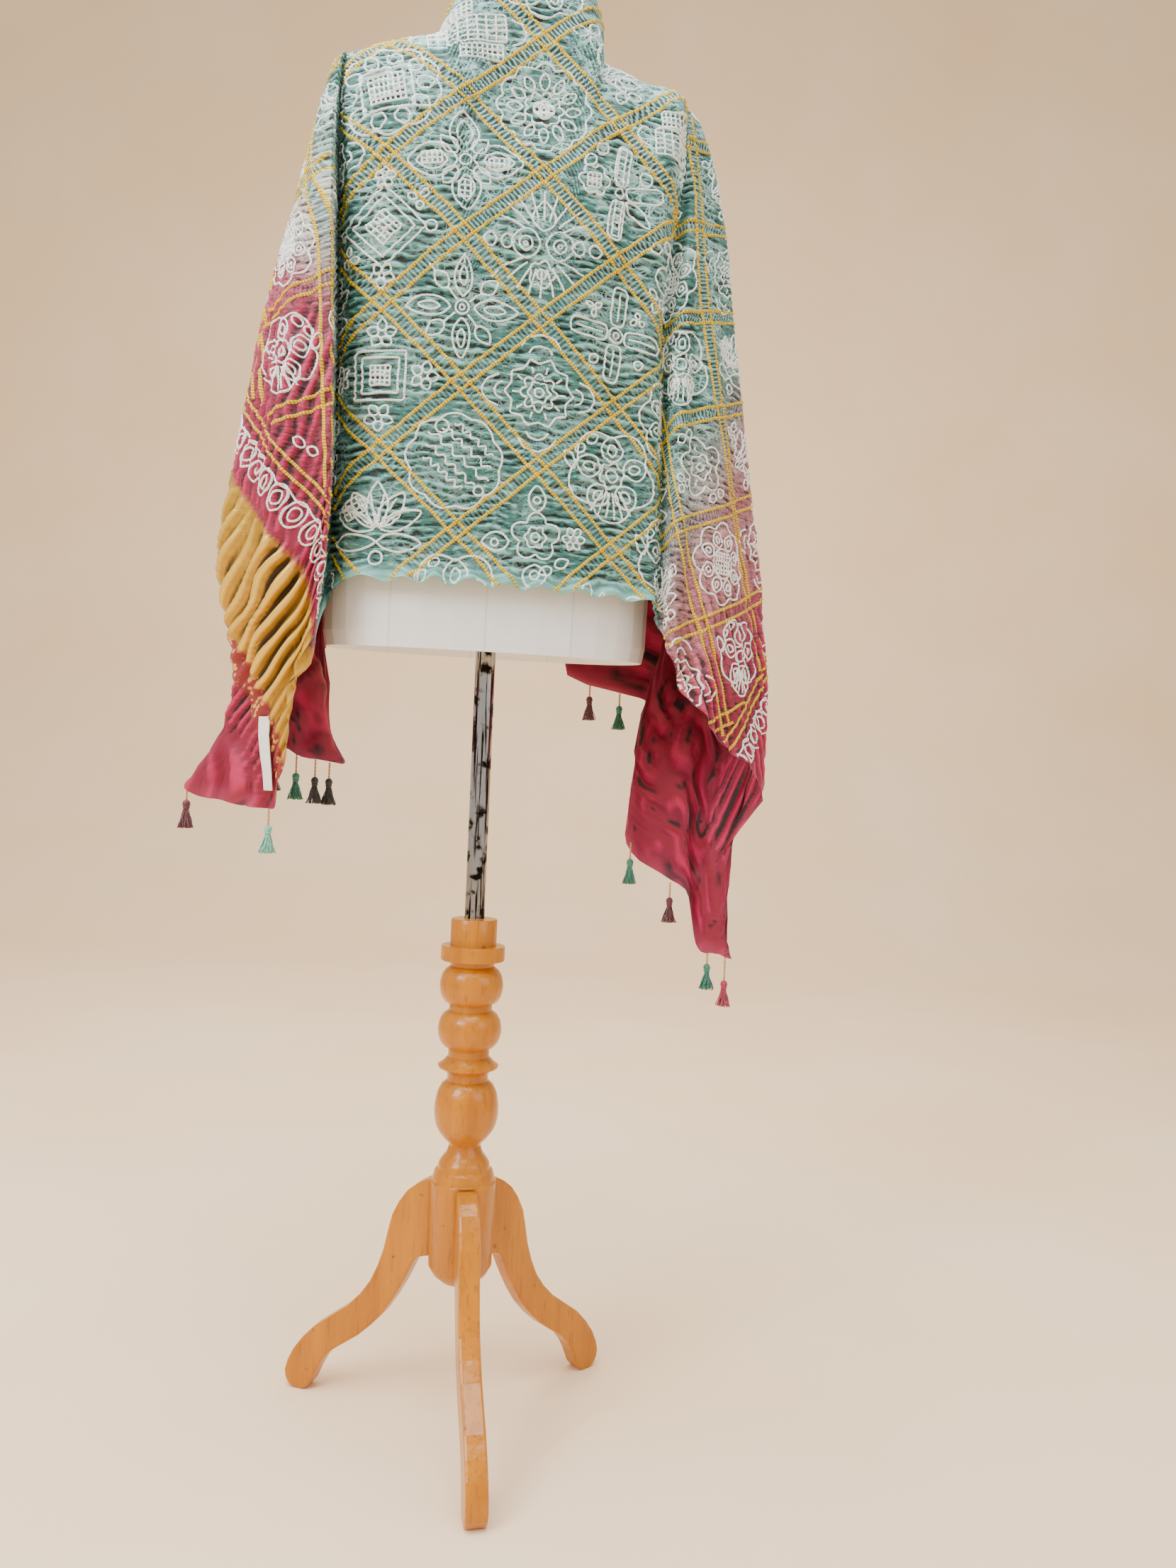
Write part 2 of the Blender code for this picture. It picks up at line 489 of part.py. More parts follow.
def build_cloth_mesh():
    drop = np.linspace(0.0, 1.0, ROWS + 1) ** 1.25
    sides, places = {}, {}
    for side, table in (("left", LEFT), ("right", RIGHT)):
        places[side] = sleeve_places(table)
        sides[side] = drape_line(table, TIP[side], NECK_CORNER[side], places[side], drop)
    left, right = sides["left"], sides["right"]
    chest = chest_grid(left[0], right[0], left[-1], right[-1], NECK_COLS, drop)

    index, points, lift = {}, [], []

    def vert(key, p, h):
        if key not in index:
            index[key] = len(points)
            points.append(p)
            lift.append(h)
        return index[key]

    faces = []
    n = len(chest) - 1

    def chest_key(i, j):
        if j == 0 and i <= ROWS:
            return ("left", "ridge", i)
        if j == 0 and i >= n - ROWS:
            return ("right", "ridge", n - i)
        if i == 0:
            return ("left", "edge", j)
        if i == n:
            return ("right", "edge", j)
        return ("chest", i, j)

    s = np.linspace(0, 1, n + 1)
    chest_h = fold_height("chest", s[:, None], drop[None, :]) * np.sin(math.pi * s)[:, None]
    chest_h += RUFFLE * 0.6 * np.clip((drop - 0.9) / 0.1, 0, 1)[None, :] * np.sin(46 * s)[:, None]
    ids = [[vert(chest_key(i, j), chest[i, j], chest_h[i, j]) for j in range(ROWS + 1)] for i in range(n + 1)]
    for i in range(n):
        for j in range(ROWS):
            faces.append((ids[i][j], ids[i][j + 1], ids[i + 1][j + 1], ids[i + 1][j]))
    for side, grid in sides.items():
        place = places[side]
        m = len(place) - 1

        def key(i, j):
            if j == 0:
                return (side, "ridge", 0)
            if i == 0:
                return (side, "edge", j)
            if i == m:
                return (side, "ridge", j)
            return (side, i, j)

        h = fold_height(side, place[:, None], drop[None, :])
        h += RUFFLE * np.clip((drop - 0.88) / 0.12, 0, 1)[None, :] * np.sin(60 * place)[:, None]
        h *= np.clip(np.sin(math.pi * place), 0, 1)[:, None] ** 0.3
        ids = [[vert(key(i, j), grid[i, j], h[i, j]) for j in range(ROWS + 1)] for i in range(m + 1)]
        for i in range(m):
            for j in range(ROWS):
                quad = (ids[i][j], ids[i + 1][j], ids[i + 1][j + 1], ids[i][j + 1])
                if side == "right":
                    quad = quad[::-1]
                quad = tuple(dict.fromkeys(quad))
                faces.append(quad)

    mesh = bpy.data.meshes.new("dupatta")
    mesh.from_pydata([tuple(p) for p in yawed(points)], [], faces)
    mesh.validate()
    bm = bmesh.new()
    bm.from_mesh(mesh)
    bmesh.ops.recalc_face_normals(bm, faces=bm.faces)
    bm.normal_update()
    bm.verts.ensure_lookup_table()
    # the chest's normal looks at the viewer
    mid = max(bm.verts, key=lambda v: -v.co.y)
    if mid.normal.y > 0:
        bmesh.ops.reverse_faces(bm, faces=bm.faces)
        bm.normal_update()
    normals = [v.normal.copy() for v in bm.verts]
    bm.verts.ensure_lookup_table()
    for v, nrm, h in zip(bm.verts, normals, lift):
        v.co += nrm * float(h)
    bmesh.ops.triangulate(bm, faces=bm.faces, quad_method="SHORT_EDGE")
    bm.normal_update()
    bm.to_mesh(mesh)
    bm.free()
    mesh.shade_smooth()

    def edge_at(side, at):
        place = places[side]
        k = int(np.searchsorted(place, at)) - 1
        u = (at - place[k]) / (place[k + 1] - place[k])
        a, b = (mesh.vertices[index[(side, i, ROWS)]].co for i in (k, k + 1))
        return a.lerp(b, u)

    return mesh, edge_at


# height below the cord's end, radius down a tassel to where the strands start
TASSEL = (("head top", 0.0000, CORD_R), ("head", 0.0012, 0.0030), ("head", 0.0045, 0.0040),
          ("tie", 0.0080, 0.0031), ("skirt", 0.0100, 0.0043))


def tassel_mesh(name, top, cord):
    """Cord, head and three-sided strands in one closed body, hung from top."""
    bm = bmesh.new()
    rings = [(0.0, CORD_TIP_R), (0.0020, CORD_R)] + [(cord + d, r) for _, d, r in TASSEL]
    rows = []
    for d, r in rings:
        rows.append([bm.verts.new((top[0] + r * math.cos(2 * math.pi * k / STRANDS),
                                   top[1] + r * math.sin(2 * math.pi * k / STRANDS), top[2] - d))
                     for k in range(STRANDS)])
    for a, b in zip(rows, rows[1:]):
        for k in range(STRANDS):
            bm.faces.new((a[k], b[k], b[(k + 1) % STRANDS], a[(k + 1) % STRANDS]))
    bm.faces.new(rows[0])
    foot = bm.faces.new(list(reversed(rows[-1])))
    roots = bmesh.ops.poke(bm, faces=[foot])["faces"]
    bmesh.ops.inset_individual(bm, faces=roots, thickness=0.00022)
    for k, face in enumerate(roots):
        mid = face.calc_center_median()
        out = Vector((mid.x - top[0], mid.y - top[1], 0.0)).normalized()
        tip = bmesh.ops.extrude_discrete_faces(bm, faces=[face])["faces"][0]
        fall = SKIRT_LEN * (0.92 + 0.08 * math.sin(3.0 * k))
        bmesh.ops.translate(bm, verts=tip.verts, vec=out * SKIRT_FLARE - Vector((0, 0, fall)))
    bmesh.ops.recalc_face_normals(bm, faces=bm.faces)
    mesh = bpy.data.meshes.new(name)
    bm.to_mesh(mesh)
    bm.free()
    return mesh


def build_tassels(coll, edge_at, mats):
    for k, (side, place, cord, colour) in enumerate(TASSELS):
        top = edge_at(side, place) - Vector((0, 0, CORD_DROP))
        put(coll, "tassel_%02d" % (k + 1), tassel_mesh("tassel", top, cord), mats[colour])


def build_label(coll, cloth_mesh, mat):
    """A bare ribbon laid on the cloth's front, stitched down at its top."""
    place, d0, d1, width = LABEL
    drop = np.linspace(d0, d1, 5)
    line = drape_line(LEFT, TIP["left"], NECK_CORNER["left"], [place, place], drop)[0]
    bm = bmesh.new()
    bm.from_mesh(cloth_mesh)
    tree = BVHTree.FromBMesh(bm)
    bm.free()
    back = Vector(yawed((0.0, 1.0, 0.0)))
    rows = len(drop)
    verts = []
    for across in (-0.5, 0.5):
        for j, p in enumerate(yawed(line + np.array((width * across, -0.08, 0.0)))):
            hit, normal = tree.ray_cast(Vector(p), back)[:2]
            off = LABEL_SEAT if j == 0 else LABEL_OFF
            verts.append(hit + normal * math.copysign(off, -normal.y))
    faces = [(i, i + 1, rows + i + 1, rows + i) for i in range(rows - 1)]
    mesh = bpy.data.meshes.new("label")
    mesh.from_pydata(verts, [], faces)
    ob = put(coll, "label", mesh, mat)
    solid = ob.modifiers.new("ribbon", "SOLIDIFY")
    solid.thickness = LABEL_THICK
    solid.offset = 0.0


def build_dupatta(coll, mat):
    mesh, edge_at = build_cloth_mesh()
    ob = put(coll, "dupatta", mesh, mat)
    solid = ob.modifiers.new("cloth", "SOLIDIFY")
    solid.thickness = CLOTH_THICK
    solid.offset = 0.0
    solid.use_rim = True
    return mesh, edge_at


def build():
    reset_scene()
    global CUTTERS
    parts = collection("bandhani_dupatta_on_form")
    CUTTERS = collection("cutters")
    wood = material("wood_varnish", (0.584, 0.270, 0.036), 0.25)
    steel = material("steel", (0.35, 0.36, 0.37), 0.30, 1.0)
    cover = material("form_cover", (0.72, 0.72, 0.69), 0.75)
    cloth = material("silk_crepe", (0.11, 0.30, 0.27), 0.6)
    ribbon = material("label_ribbon", (0.80, 0.80, 0.78), 0.6)
    build_column(parts, wood)
    build_legs(parts, wood)
    build_pole(parts, steel, RIM_Z + RECESS - GAP)
    build_form(parts, cover)
    cloth_mesh, edge_at = build_dupatta(parts, cloth)
    mats = {c: material("thread_" + c, rgb, 0.8) for c, rgb in THREADS.items()}
    build_tassels(parts, edge_at, mats)
    build_label(parts, cloth_mesh, ribbon)
    root = bpy.data.objects.new("axis", None)
    root.location = (AXIS_AT[0], AXIS_AT[1], 0.0)
    parts.objects.link(root)
    for ob in list(parts.objects) + list(CUTTERS.objects):
        if ob is not root:
            ob.parent = root


CUTTERS = None
build()
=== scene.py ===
# %% [markdown]
# # A bandhani cloth on a dress form
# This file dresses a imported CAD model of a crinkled, tie-dyed silk dupatta that hangs over
# an armless dress form on a turned wooden stand.  The CAD nodes give every place and size.
# The file adds what a photograph shows: fine crinkles, knotted dot lines, threads and finishes.

import json
import math

import bpy
import numpy as np
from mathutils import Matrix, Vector, noise
from mathutils.bvhtree import BVHTree

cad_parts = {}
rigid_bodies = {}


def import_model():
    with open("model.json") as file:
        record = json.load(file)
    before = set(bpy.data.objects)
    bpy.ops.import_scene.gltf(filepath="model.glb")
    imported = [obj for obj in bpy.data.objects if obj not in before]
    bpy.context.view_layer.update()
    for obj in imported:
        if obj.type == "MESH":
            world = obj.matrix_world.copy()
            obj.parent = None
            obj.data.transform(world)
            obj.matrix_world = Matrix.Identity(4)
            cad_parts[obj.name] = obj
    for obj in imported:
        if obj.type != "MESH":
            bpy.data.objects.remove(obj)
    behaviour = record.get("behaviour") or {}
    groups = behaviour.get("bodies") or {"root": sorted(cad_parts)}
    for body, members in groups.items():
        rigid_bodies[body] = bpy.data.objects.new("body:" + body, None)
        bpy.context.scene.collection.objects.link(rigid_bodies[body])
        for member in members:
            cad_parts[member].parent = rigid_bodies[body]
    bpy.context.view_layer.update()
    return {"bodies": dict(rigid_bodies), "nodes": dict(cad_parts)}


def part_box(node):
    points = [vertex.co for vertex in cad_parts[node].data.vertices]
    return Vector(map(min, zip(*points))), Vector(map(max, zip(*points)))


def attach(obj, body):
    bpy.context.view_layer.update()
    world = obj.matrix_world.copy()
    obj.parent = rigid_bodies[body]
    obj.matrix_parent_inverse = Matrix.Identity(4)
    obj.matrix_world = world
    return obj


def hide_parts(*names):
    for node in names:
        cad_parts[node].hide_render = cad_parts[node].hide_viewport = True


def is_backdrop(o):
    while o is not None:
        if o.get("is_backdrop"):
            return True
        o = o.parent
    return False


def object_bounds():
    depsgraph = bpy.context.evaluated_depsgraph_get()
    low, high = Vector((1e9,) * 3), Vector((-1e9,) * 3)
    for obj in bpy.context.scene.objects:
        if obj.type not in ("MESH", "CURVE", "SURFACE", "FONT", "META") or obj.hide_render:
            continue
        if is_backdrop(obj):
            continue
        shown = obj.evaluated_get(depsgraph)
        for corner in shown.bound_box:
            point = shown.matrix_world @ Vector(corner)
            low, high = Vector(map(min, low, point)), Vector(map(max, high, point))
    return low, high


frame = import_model()
BODY = list(frame["bodies"])[0]
print("nodes:", len(frame["nodes"]), "body:", BODY)

# %% [markdown]
# ## Small helpers
# Colours are easiest to pick as the sRGB hex values that a screen shows, but Blender's
# materials work in linear light, so one function turns them.  A second one adds a node with
# its settings and its links, which keeps every material below short enough to read.


# %% Colours, nodes and meshes
def linear(hex_colour):
    """sRGB hex to the linear colour that a socket takes."""
    out = []
    for k in (0, 2, 4):
        v = int(hex_colour[k:k + 2], 16) / 255
        out.append(v / 12.92 if v <= 0.04045 else ((v + 0.055) / 1.055) ** 2.4)
    return (*out, 1.0)


def node(tree, kind, settings=None, **inputs):
    """Adds a node.  An input is a value or the socket that feeds it; _ stands for a space."""
    made = tree.nodes.new(kind)
    for name, value in (settings or {}).items():
        setattr(made, name, value)
    for name, value in inputs.items():
        key = int(name[1:]) if name[0] == "i" and name[1:].isdigit() else name.replace("_", " ")
        socket = made.inputs[key]
        if isinstance(value, bpy.types.NodeSocket):
            tree.links.new(value, socket)
        else:
            socket.default_value = value
    return made


def new_material(name):
    """An empty node material with its shader, joined to the output."""
    made = bpy.data.materials.new(name)
    made.use_nodes = True
    tree = made.node_tree
    tree.nodes.clear()
    shader = node(tree, "ShaderNodeBsdfPrincipled")
    node(tree, "ShaderNodeOutputMaterial", Surface=shader.outputs["BSDF"])
    return made, tree, shader


def mesh_object(name, points, faces, finish):
    """A new object from points and faces, at the origin and smooth."""
    mesh = bpy.data.meshes.new(name)
    mesh.from_pydata([tuple(p) for p in points], [], faces)
    mesh.materials.append(finish)
    mesh.shade_smooth()
    made = bpy.data.objects.new(name, mesh)
    bpy.context.scene.collection.objects.link(made)
    return made


def float_attribute(mesh, name, values):
    layer = mesh.attributes.new(name, "FLOAT", "POINT")
    layer.data.foreach_set("value", np.asarray(values, np.float32))


print("mid grey in linear light: %.3f" % linear("808080")[0])

# %% [markdown]
# ## Camera, light and floor
# The photograph was taken from the height of the stand's knee with a slightly wide lens.  Its
# camera was found by fitting the ellipses of the turned column and the three feet.  Most light
# comes from the ceiling and from a large soft window at the front left.  A weaker window lifts
# the shadows on the right, and one lamp lights the paper behind the stand.

# %% Camera
CAMERA_AT = (0.1095, -1.3010, 0.7200)
CAMERA_ROLL = math.radians(-2.45)
LENS = 27.03              # mm, for a frame 36 mm high

camera_data = bpy.data.cameras.new("camera")
camera_data.lens = LENS
camera_data.sensor_width = 36.0
camera_data.sensor_fit = "AUTO"
camera = bpy.data.objects.new("camera", camera_data)
camera.location = CAMERA_AT
camera.rotation_euler = (math.radians(90.0), CAMERA_ROLL, 0.0)
bpy.context.scene.collection.objects.link(camera)
bpy.context.scene.camera = camera
print("camera at", CAMERA_AT)

# %% Light
LIGHTS = (
    # name, place, what it points at, width, height, watts, colour
    ("window left", (-1.7, -1.9, 2.4), (0.0, 0.0, 0.85), 1.3, 1.5, 86.0, "F8FBFF"),
    ("window right", (2.2, -1.5, 1.8), (0.0, 0.0, 0.85), 1.4, 1.6, 20.0, "EEF4FF"),
    ("ceiling", (-0.2, -0.5, 3.5), (0.0, 0.0, 0.85), 2.6, 2.0, 150.0, "FAFCFF"),
    ("backdrop", (0.0, 1.5, 3.4), (0.0, 4.6, 0.7), 3.0, 1.0, 75.0, "FFF4E6"),
)
for name, place, point, wide, high, watts, colour in LIGHTS:
    lamp_data = bpy.data.lights.new(name, "AREA")
    lamp_data.shape = "RECTANGLE"
    lamp_data.size = wide
    lamp_data.size_y = high
    lamp_data.energy = watts
    lamp_data.color = linear(colour)[:3]
    lamp = bpy.data.objects.new(name, lamp_data)
    lamp.location = place
    aim = Vector(point) - Vector(place)
    lamp.rotation_euler = aim.to_track_quat("-Z", "Y").to_euler()
    bpy.context.scene.collection.objects.link(lamp)

world = bpy.data.worlds.new("studio")
world.use_nodes = True
world.node_tree.nodes["Background"].inputs["Color"].default_value = linear("F1EBE3")
world.node_tree.nodes["Background"].inputs["Strength"].default_value = 0.90
bpy.context.scene.world = world
print("lights:", len(LIGHTS))

# %% Paper floor and wall
# matt uncoated paper: it takes soft shadows and gives back no highlight
floor_finish, tree, shader = new_material("pale studio floor")
place = node(tree, "ShaderNodeTexCoord").outputs["Object"]
cloud = node(tree, "ShaderNodeTexNoise", Vector=place, Scale=1.3, Detail=4.0)
tint = node(tree, "ShaderNodeMix", {"data_type": "RGBA"}, Factor=cloud.outputs["Fac"],
            i6=linear("F6D2A2"), i7=linear("FFE8C8"))
tree.links.new(tint.outputs[2], shader.inputs["Base Color"])
shader.inputs["Roughness"].default_value = 0.85
# the floor sweeps up into a wall, as a studio's paper roll does
WALL_Y, SWEEP_R, WALL_TOP, HALF_WIDE, NEAR_EDGE = 3.2, 2.2, 6.0, 8.0, -5.0
turn = np.linspace(0, math.pi / 2, 17)
line = [(NEAR_EDGE, 0.0)]
line += [(WALL_Y + SWEEP_R * math.sin(a), SWEEP_R * (1 - math.cos(a))) for a in turn]
line.append((WALL_Y + SWEEP_R, WALL_TOP))
corner = [(x, y, z) for y, z in line for x in (-HALF_WIDE, HALF_WIDE)]
skin = [(2 * k, 2 * k + 1, 2 * k + 3, 2 * k + 2) for k in range(len(line) - 1)]
floor = mesh_object("floor", corner, skin, floor_finish)
floor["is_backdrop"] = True
print("paper faces:", len(floor.data.polygons))

# %% [markdown]
# ## The drape
# The cloth has no cut shape of its own here: it is a flat length thrown over the form.  Its
# middle lies across the chest, and each end falls from one shoulder point in folds that run
# round from the chest to the back.  Tables of fold lines give that fall, and a smooth curve
# through them gives the sheet, which is much easier to steer than a cloth simulation.

# %% Sizes of the drape
FORM_YAW = math.radians(10.0)
AXIS_AT = (-0.0120, 0.0270)          # the stand's axis
STATIONS = (0.16, 0.34, 0.52, 0.70, 0.86, 1.00)
TIP = {"left": (-0.1800, 0.0, 1.508), "right": (0.2050, 0.0, 1.503)}
NECK_CORNER = {"left": (-0.0840, 0.0, 1.5350), "right": (0.1020, -0.004, 1.528)}
CAP = 0.180               # height of the rounding over the shoulders
EDGE_REACH = 0.22         # share of the chest that bends to meet a fall
CHEST_POWER = 2.6         # 2 would make the chest's section an ellipse

FALL = {"left": (
    # name, place, end z, then x, y at the six stations
    ("chest edge", 0.00, 0.922,
     -.176, -.066, -.168, -.084, -.163, -.086, -.160, -.086, -.158, -.088, -.157, -.090),
    ("valley", 0.07, 0.900,
     -.183, -.050, -.178, -.058, -.175, -.062, -.174, -.062, -.173, -.066, -.172, -.070),
    ("fold edge", 0.15, 0.815,
     -.188, -.084, -.184, -.116, -.179, -.126, -.174, -.128, -.180, -.112, -.198, -.082),
    ("sleeve front", 0.29, 0.680,
     -.201, -.076, -.216, -.104, -.226, -.114, -.228, -.102, -.236, -.066, -.226, -.046),
    ("outer", 0.43, 0.697,
     -.214, -.034, -.246, -.036, -.270, -.040, -.287, -.038, -.270, -.030, -.313, -.018),
    ("back outer", 0.53, 0.765,
     -.210, .010, -.240, .018, -.260, .022, -.268, .022, -.256, .018, -.250, .014),
    ("tail 2 outer", 0.61, 0.742,
     -.200, .040, -.222, .058, -.236, .064, -.238, .060, -.226, .044, -.213, .032),
    ("tail 2 inner", 0.70, 0.728,
     -.190, .054, -.202, .084, -.207, .097, -.203, .092, -.190, .064, -.164, .044),
    ("tail 2 inside", 0.755, 0.862,
     -.184, .060, -.192, .092, -.194, .106, -.192, .108, -.189, .098, -.186, .086),
    ("back", 0.83, 0.890,
     -.176, .064, -.170, .100, -.158, .118, -.146, .124, -.136, .126, -.127, .128),
    ("back selvedge", 0.90, 1.210,
     -.168, .048, -.146, .080, -.122, .102, -.100, .112, -.084, .117, -.072, .119),
    ("yoke", 0.945, 1.420,
     -.164, .032, -.143, .056, -.122, .075, -.102, .087, -.086, .094, -.074, .097),
    ("yoke top", 0.975, 1.506,
     -.167, .020, -.147, .038, -.127, .053, -.107, .065, -.090, .071, -.076, .074),
), "right": (
    ("chest edge", 0.00, 0.918,
     .186, -.068, .172, -.086, .164, -.090, .166, -.091, .168, -.092, .167, -.093),
    ("valley", 0.06, 0.895,
     .194, -.054, .182, -.064, .175, -.070, .177, -.074, .179, -.078, .178, -.082),
    ("fold edge", 0.13, 0.855,
     .201, -.056, .194, -.082, .189, -.096, .190, -.104, .191, -.108, .190, -.106),
    ("sleeve front", 0.28, 0.775,
     .222, -.036, .232, -.056, .240, -.070, .248, -.078, .252, -.082, .254, -.080),
    ("outer", 0.41, 0.712,
     .253, -.004, .275, -.006, .296, -.008, .317, -.010, .327, -.014, .330, -.018),
    ("pinch", 0.440, 0.636,
     .253, .012, .278, .020, .304, .024, .325, .020, .322, .004, .289, .006),
    ("tail outer", 0.475, 0.524,
     .251, .028, .280, .036, .308, .042, .326, .038, .286, .016, .307, .006),
    ("tail inner", 0.540, 0.530,
     .242, .046, .270, .058, .298, .064, .304, .058, .268, .034, .269, .022),
    ("lens foot", 0.610, 0.592,
     .232, .056, .260, .072, .284, .082, .288, .074, .252, .046, .256, .034),
    ("lens edge", 0.70, 0.662,
     .222, .062, .244, .082, .256, .090, .246, .080, .192, .056, .178, .044),
    ("back fold", 0.77, 0.815,
     .212, .068, .230, .094, .238, .108, .240, .114, .236, .112, .231, .108),
    ("back", 0.86, 0.858,
     .192, .070, .176, .100, .156, .117, .136, .124, .123, .127, .113, .130),
    ("back selvedge", 0.92, 1.200,
     .186, .048, .164, .080, .138, .102, .114, .113, .096, .118, .080, .120),
    ("yoke", 0.952, 1.460,
     .188, .030, .167, .054, .148, .072, .128, .084, .112, .090, .098, .091),
    ("collar back", 0.978, 1.585,
     .189, .014, .170, .028, .150, .041, .128, .052, .110, .060, .093, .056),
)}

# the free edge round the front of the neck, between the shoulder corners
NECK = (
    ("left corner", -0.0840, 0.000, 1.535), ("left rise", -0.0660, -0.022, 1.576),
    ("left", -0.0460, -0.042, 1.603), ("front left", -0.0160, -0.062, 1.612),
    ("front", 0.0200, -0.069, 1.613), ("front right", 0.0540, -0.063, 1.610),
    ("right", 0.0840, -0.044, 1.586), ("right dip", 0.1000, -0.022, 1.551),
    ("right corner", 0.1020, -0.004, 1.528),
)

# z, half width and half depth of the chest cloth
CHEST = (
    ("hem", 0.90, 0.196, 0.124), ("hip", 0.98, 0.194, 0.122), ("waist", 1.08, 0.192, 0.121),
    ("waist", 1.18, 0.192, 0.124), ("bust", 1.28, 0.196, 0.129), ("bust", 1.35, 0.200, 0.124),
    ("chest", 1.42, 0.210, 0.106), ("shoulder", 1.48, 0.224, 0.086), ("shoulder", 1.56, 0.240, 0.070),
)

# broad folds: part, place at the top and at the lower edge, drop at which the fold starts and
# ends, half width in places, height off the cloth
FOLDS = (
    ("left pleat a", "left", 0.26, 0.20, 0.30, 1.00, 0.030, -0.0085),
    ("left pleat b", "left", 0.34, 0.36, 0.35, 0.98, 0.030, -0.0090),
    ("left pleat c", "left", 0.49, 0.47, 0.30, 0.98, 0.035, -0.0075),
    ("left tail pocket", "left", 0.66, 0.67, 0.62, 1.00, 0.045, -0.0120),
    ("left back pleat", "left", 0.78, 0.78, 0.25, 1.00, 0.035, -0.0095),
    ("right pleat a", "right", 0.22, 0.18, 0.30, 1.00, 0.030, -0.0080),
    ("right pleat b", "right", 0.34, 0.36, 0.25, 1.00, 0.035, -0.0085),
    ("right pleat c", "right", 0.49, 0.48, 0.35, 1.00, 0.035, -0.0085),
    ("right lens pleat a", "right", 0.64, 0.61, 0.45, 0.95, 0.030, -0.0080),
    ("right lens pleat b", "right", 0.66, 0.655, 0.60, 0.99, 0.024, 0.0060),
    ("right back pleat", "right", 0.81, 0.82, 0.25, 1.00, 0.030, -0.0090),
    ("chest left fall", "chest", 0.20, 0.16, 0.25, 1.00, 0.050, -0.0030),
    ("chest mid fall", "chest", 0.52, 0.46, 0.20, 0.90, 0.060, -0.0022),
    ("chest right fall", "chest", 0.80, 0.86, 0.20, 1.00, 0.050, -0.0032),
)
RUFFLE = 0.0035           # m, at the lower edge of the falls
print("fold lines:", len(FALL["left"]) + len(FALL["right"]))


# %% Curves through the fold lines
def hermite(xs, ys, x):
    """Smooth curve through the rows ys (n, k) at xs (n,), read at x (m,), without overshoot."""
    xs, ys, x = np.asarray(xs, float), np.asarray(ys, float), np.asarray(x, float)
    step = np.diff(ys, axis=0) / np.diff(xs)[:, None]
    both = step[1:] + step[:-1]
    both[both == 0] = 1.0
    inner = np.where(step[1:] * step[:-1] > 0, 2 * step[1:] * step[:-1] / both, 0.0)
    slope = np.vstack([step[:1], inner, step[-1:]])
    i = np.clip(np.searchsorted(xs, x, side="right") - 1, 0, len(xs) - 2)
    h = (xs[i + 1] - xs[i])[:, None]
    u = ((x - xs[i]) / (xs[i + 1] - xs[i]))[:, None]
    return ((2 * u ** 3 - 3 * u ** 2 + 1) * ys[i] + (u ** 3 - 2 * u ** 2 + u) * h * slope[i]
            + (3 * u ** 2 - 2 * u ** 3) * ys[i + 1] + (u ** 3 - u ** 2) * h * slope[i + 1])


def turned_out(points):
    """The form's own frame to the row frame."""
    c, s = math.cos(FORM_YAW), math.sin(FORM_YAW)
    p = np.asarray(points, float)
    x = p[..., 0] * c - p[..., 1] * s + AXIS_AT[0]
    y = p[..., 0] * s + p[..., 1] * c + AXIS_AT[1]
    return np.stack([x, y, p[..., 2]], -1)


def ridge_line(side, drop):
    """The shoulder ridge, from the shoulder point to the neck."""
    w = np.sqrt(drop)
    tip, corner = TIP[side], NECK_CORNER[side]
    return np.outer(1 - w, tip) + np.outer(w, corner)


def fall_lines(side, place, drop):
    """Points of one side of the cloth at places (0..1) round it and drops (0..1) down it."""
    tip = TIP[side]
    w = np.sqrt(drop)
    at = np.sqrt(np.array((0.0,) + STATIONS))
    lines = []
    for row in FALL[side]:
        xy = np.array([tip[:2]] + [row[3 + 2 * k:5 + 2 * k] for k in range(len(STATIONS))])
        z = tip[2] + (row[2] - tip[2]) * w ** 2
        lines.append(np.column_stack([hermite(at, xy, w), z]))
    lines.append(ridge_line(side, drop))
    places = [row[1] for row in FALL[side]] + [1.0]
    flat = np.array(lines).reshape(len(places), -1)
    return hermite(places, flat, place).reshape(len(place), len(drop), 3)


def chest_depth(x, z):
    rows = np.array([row[1:] for row in CHEST])
    w = np.interp(z, rows[:, 0], rows[:, 1])
    d = np.interp(z, rows[:, 0], rows[:, 2])
    return -d * np.clip(1 - (np.abs(x) / w) ** CHEST_POWER, 0, 1) ** (1 / CHEST_POWER)


def fold_height(part, place, drop):
    h = np.zeros(np.broadcast(place, drop).shape)
    for _, where, p0, p1, d0, d1, width, height in FOLDS:
        if where == part:
            mid = p0 + (p1 - p0) * drop
            along = np.clip((drop - d0) / 0.15, 0, 1) * np.clip((d1 + 0.08 - drop) / 0.08, 0, 1)
            h = h + height * along * np.exp(-((place - mid) / width) ** 2)
    return h


print("the left fall drops %.3f m" % (TIP["left"][2] - min(row[2] for row in FALL["left"])))

# %% [markdown]
# ## The sheet
# Crinkles 9 mm apart need a mesh of about 3 mm, so the sheet is a welded grid: the chest in the
# middle and a fan of rows on each side.  Every point also keeps its place on the flat cloth, in
# metres, which is where the dye, the trellis and the motifs are drawn.

# %% Grid of the cloth
ROWS = 296                # from the shoulder to the lower edge
RIDGE_COLS = 44           # along each shoulder ridge
NECK_COLS = 34
# part of the way round a fall, and the number of columns in it
COLUMNS = {"left": ((0.07, 8), (0.53, 58), (0.83, 24), (0.975, 8)),
           "right": ((0.06, 8), (0.475, 52), (0.70, 22), (0.978, 14))}
DROP = np.linspace(0.0, 1.0, ROWS + 1) ** 1.10
BIAS = math.radians(45.0)            # the falls hang on the bias

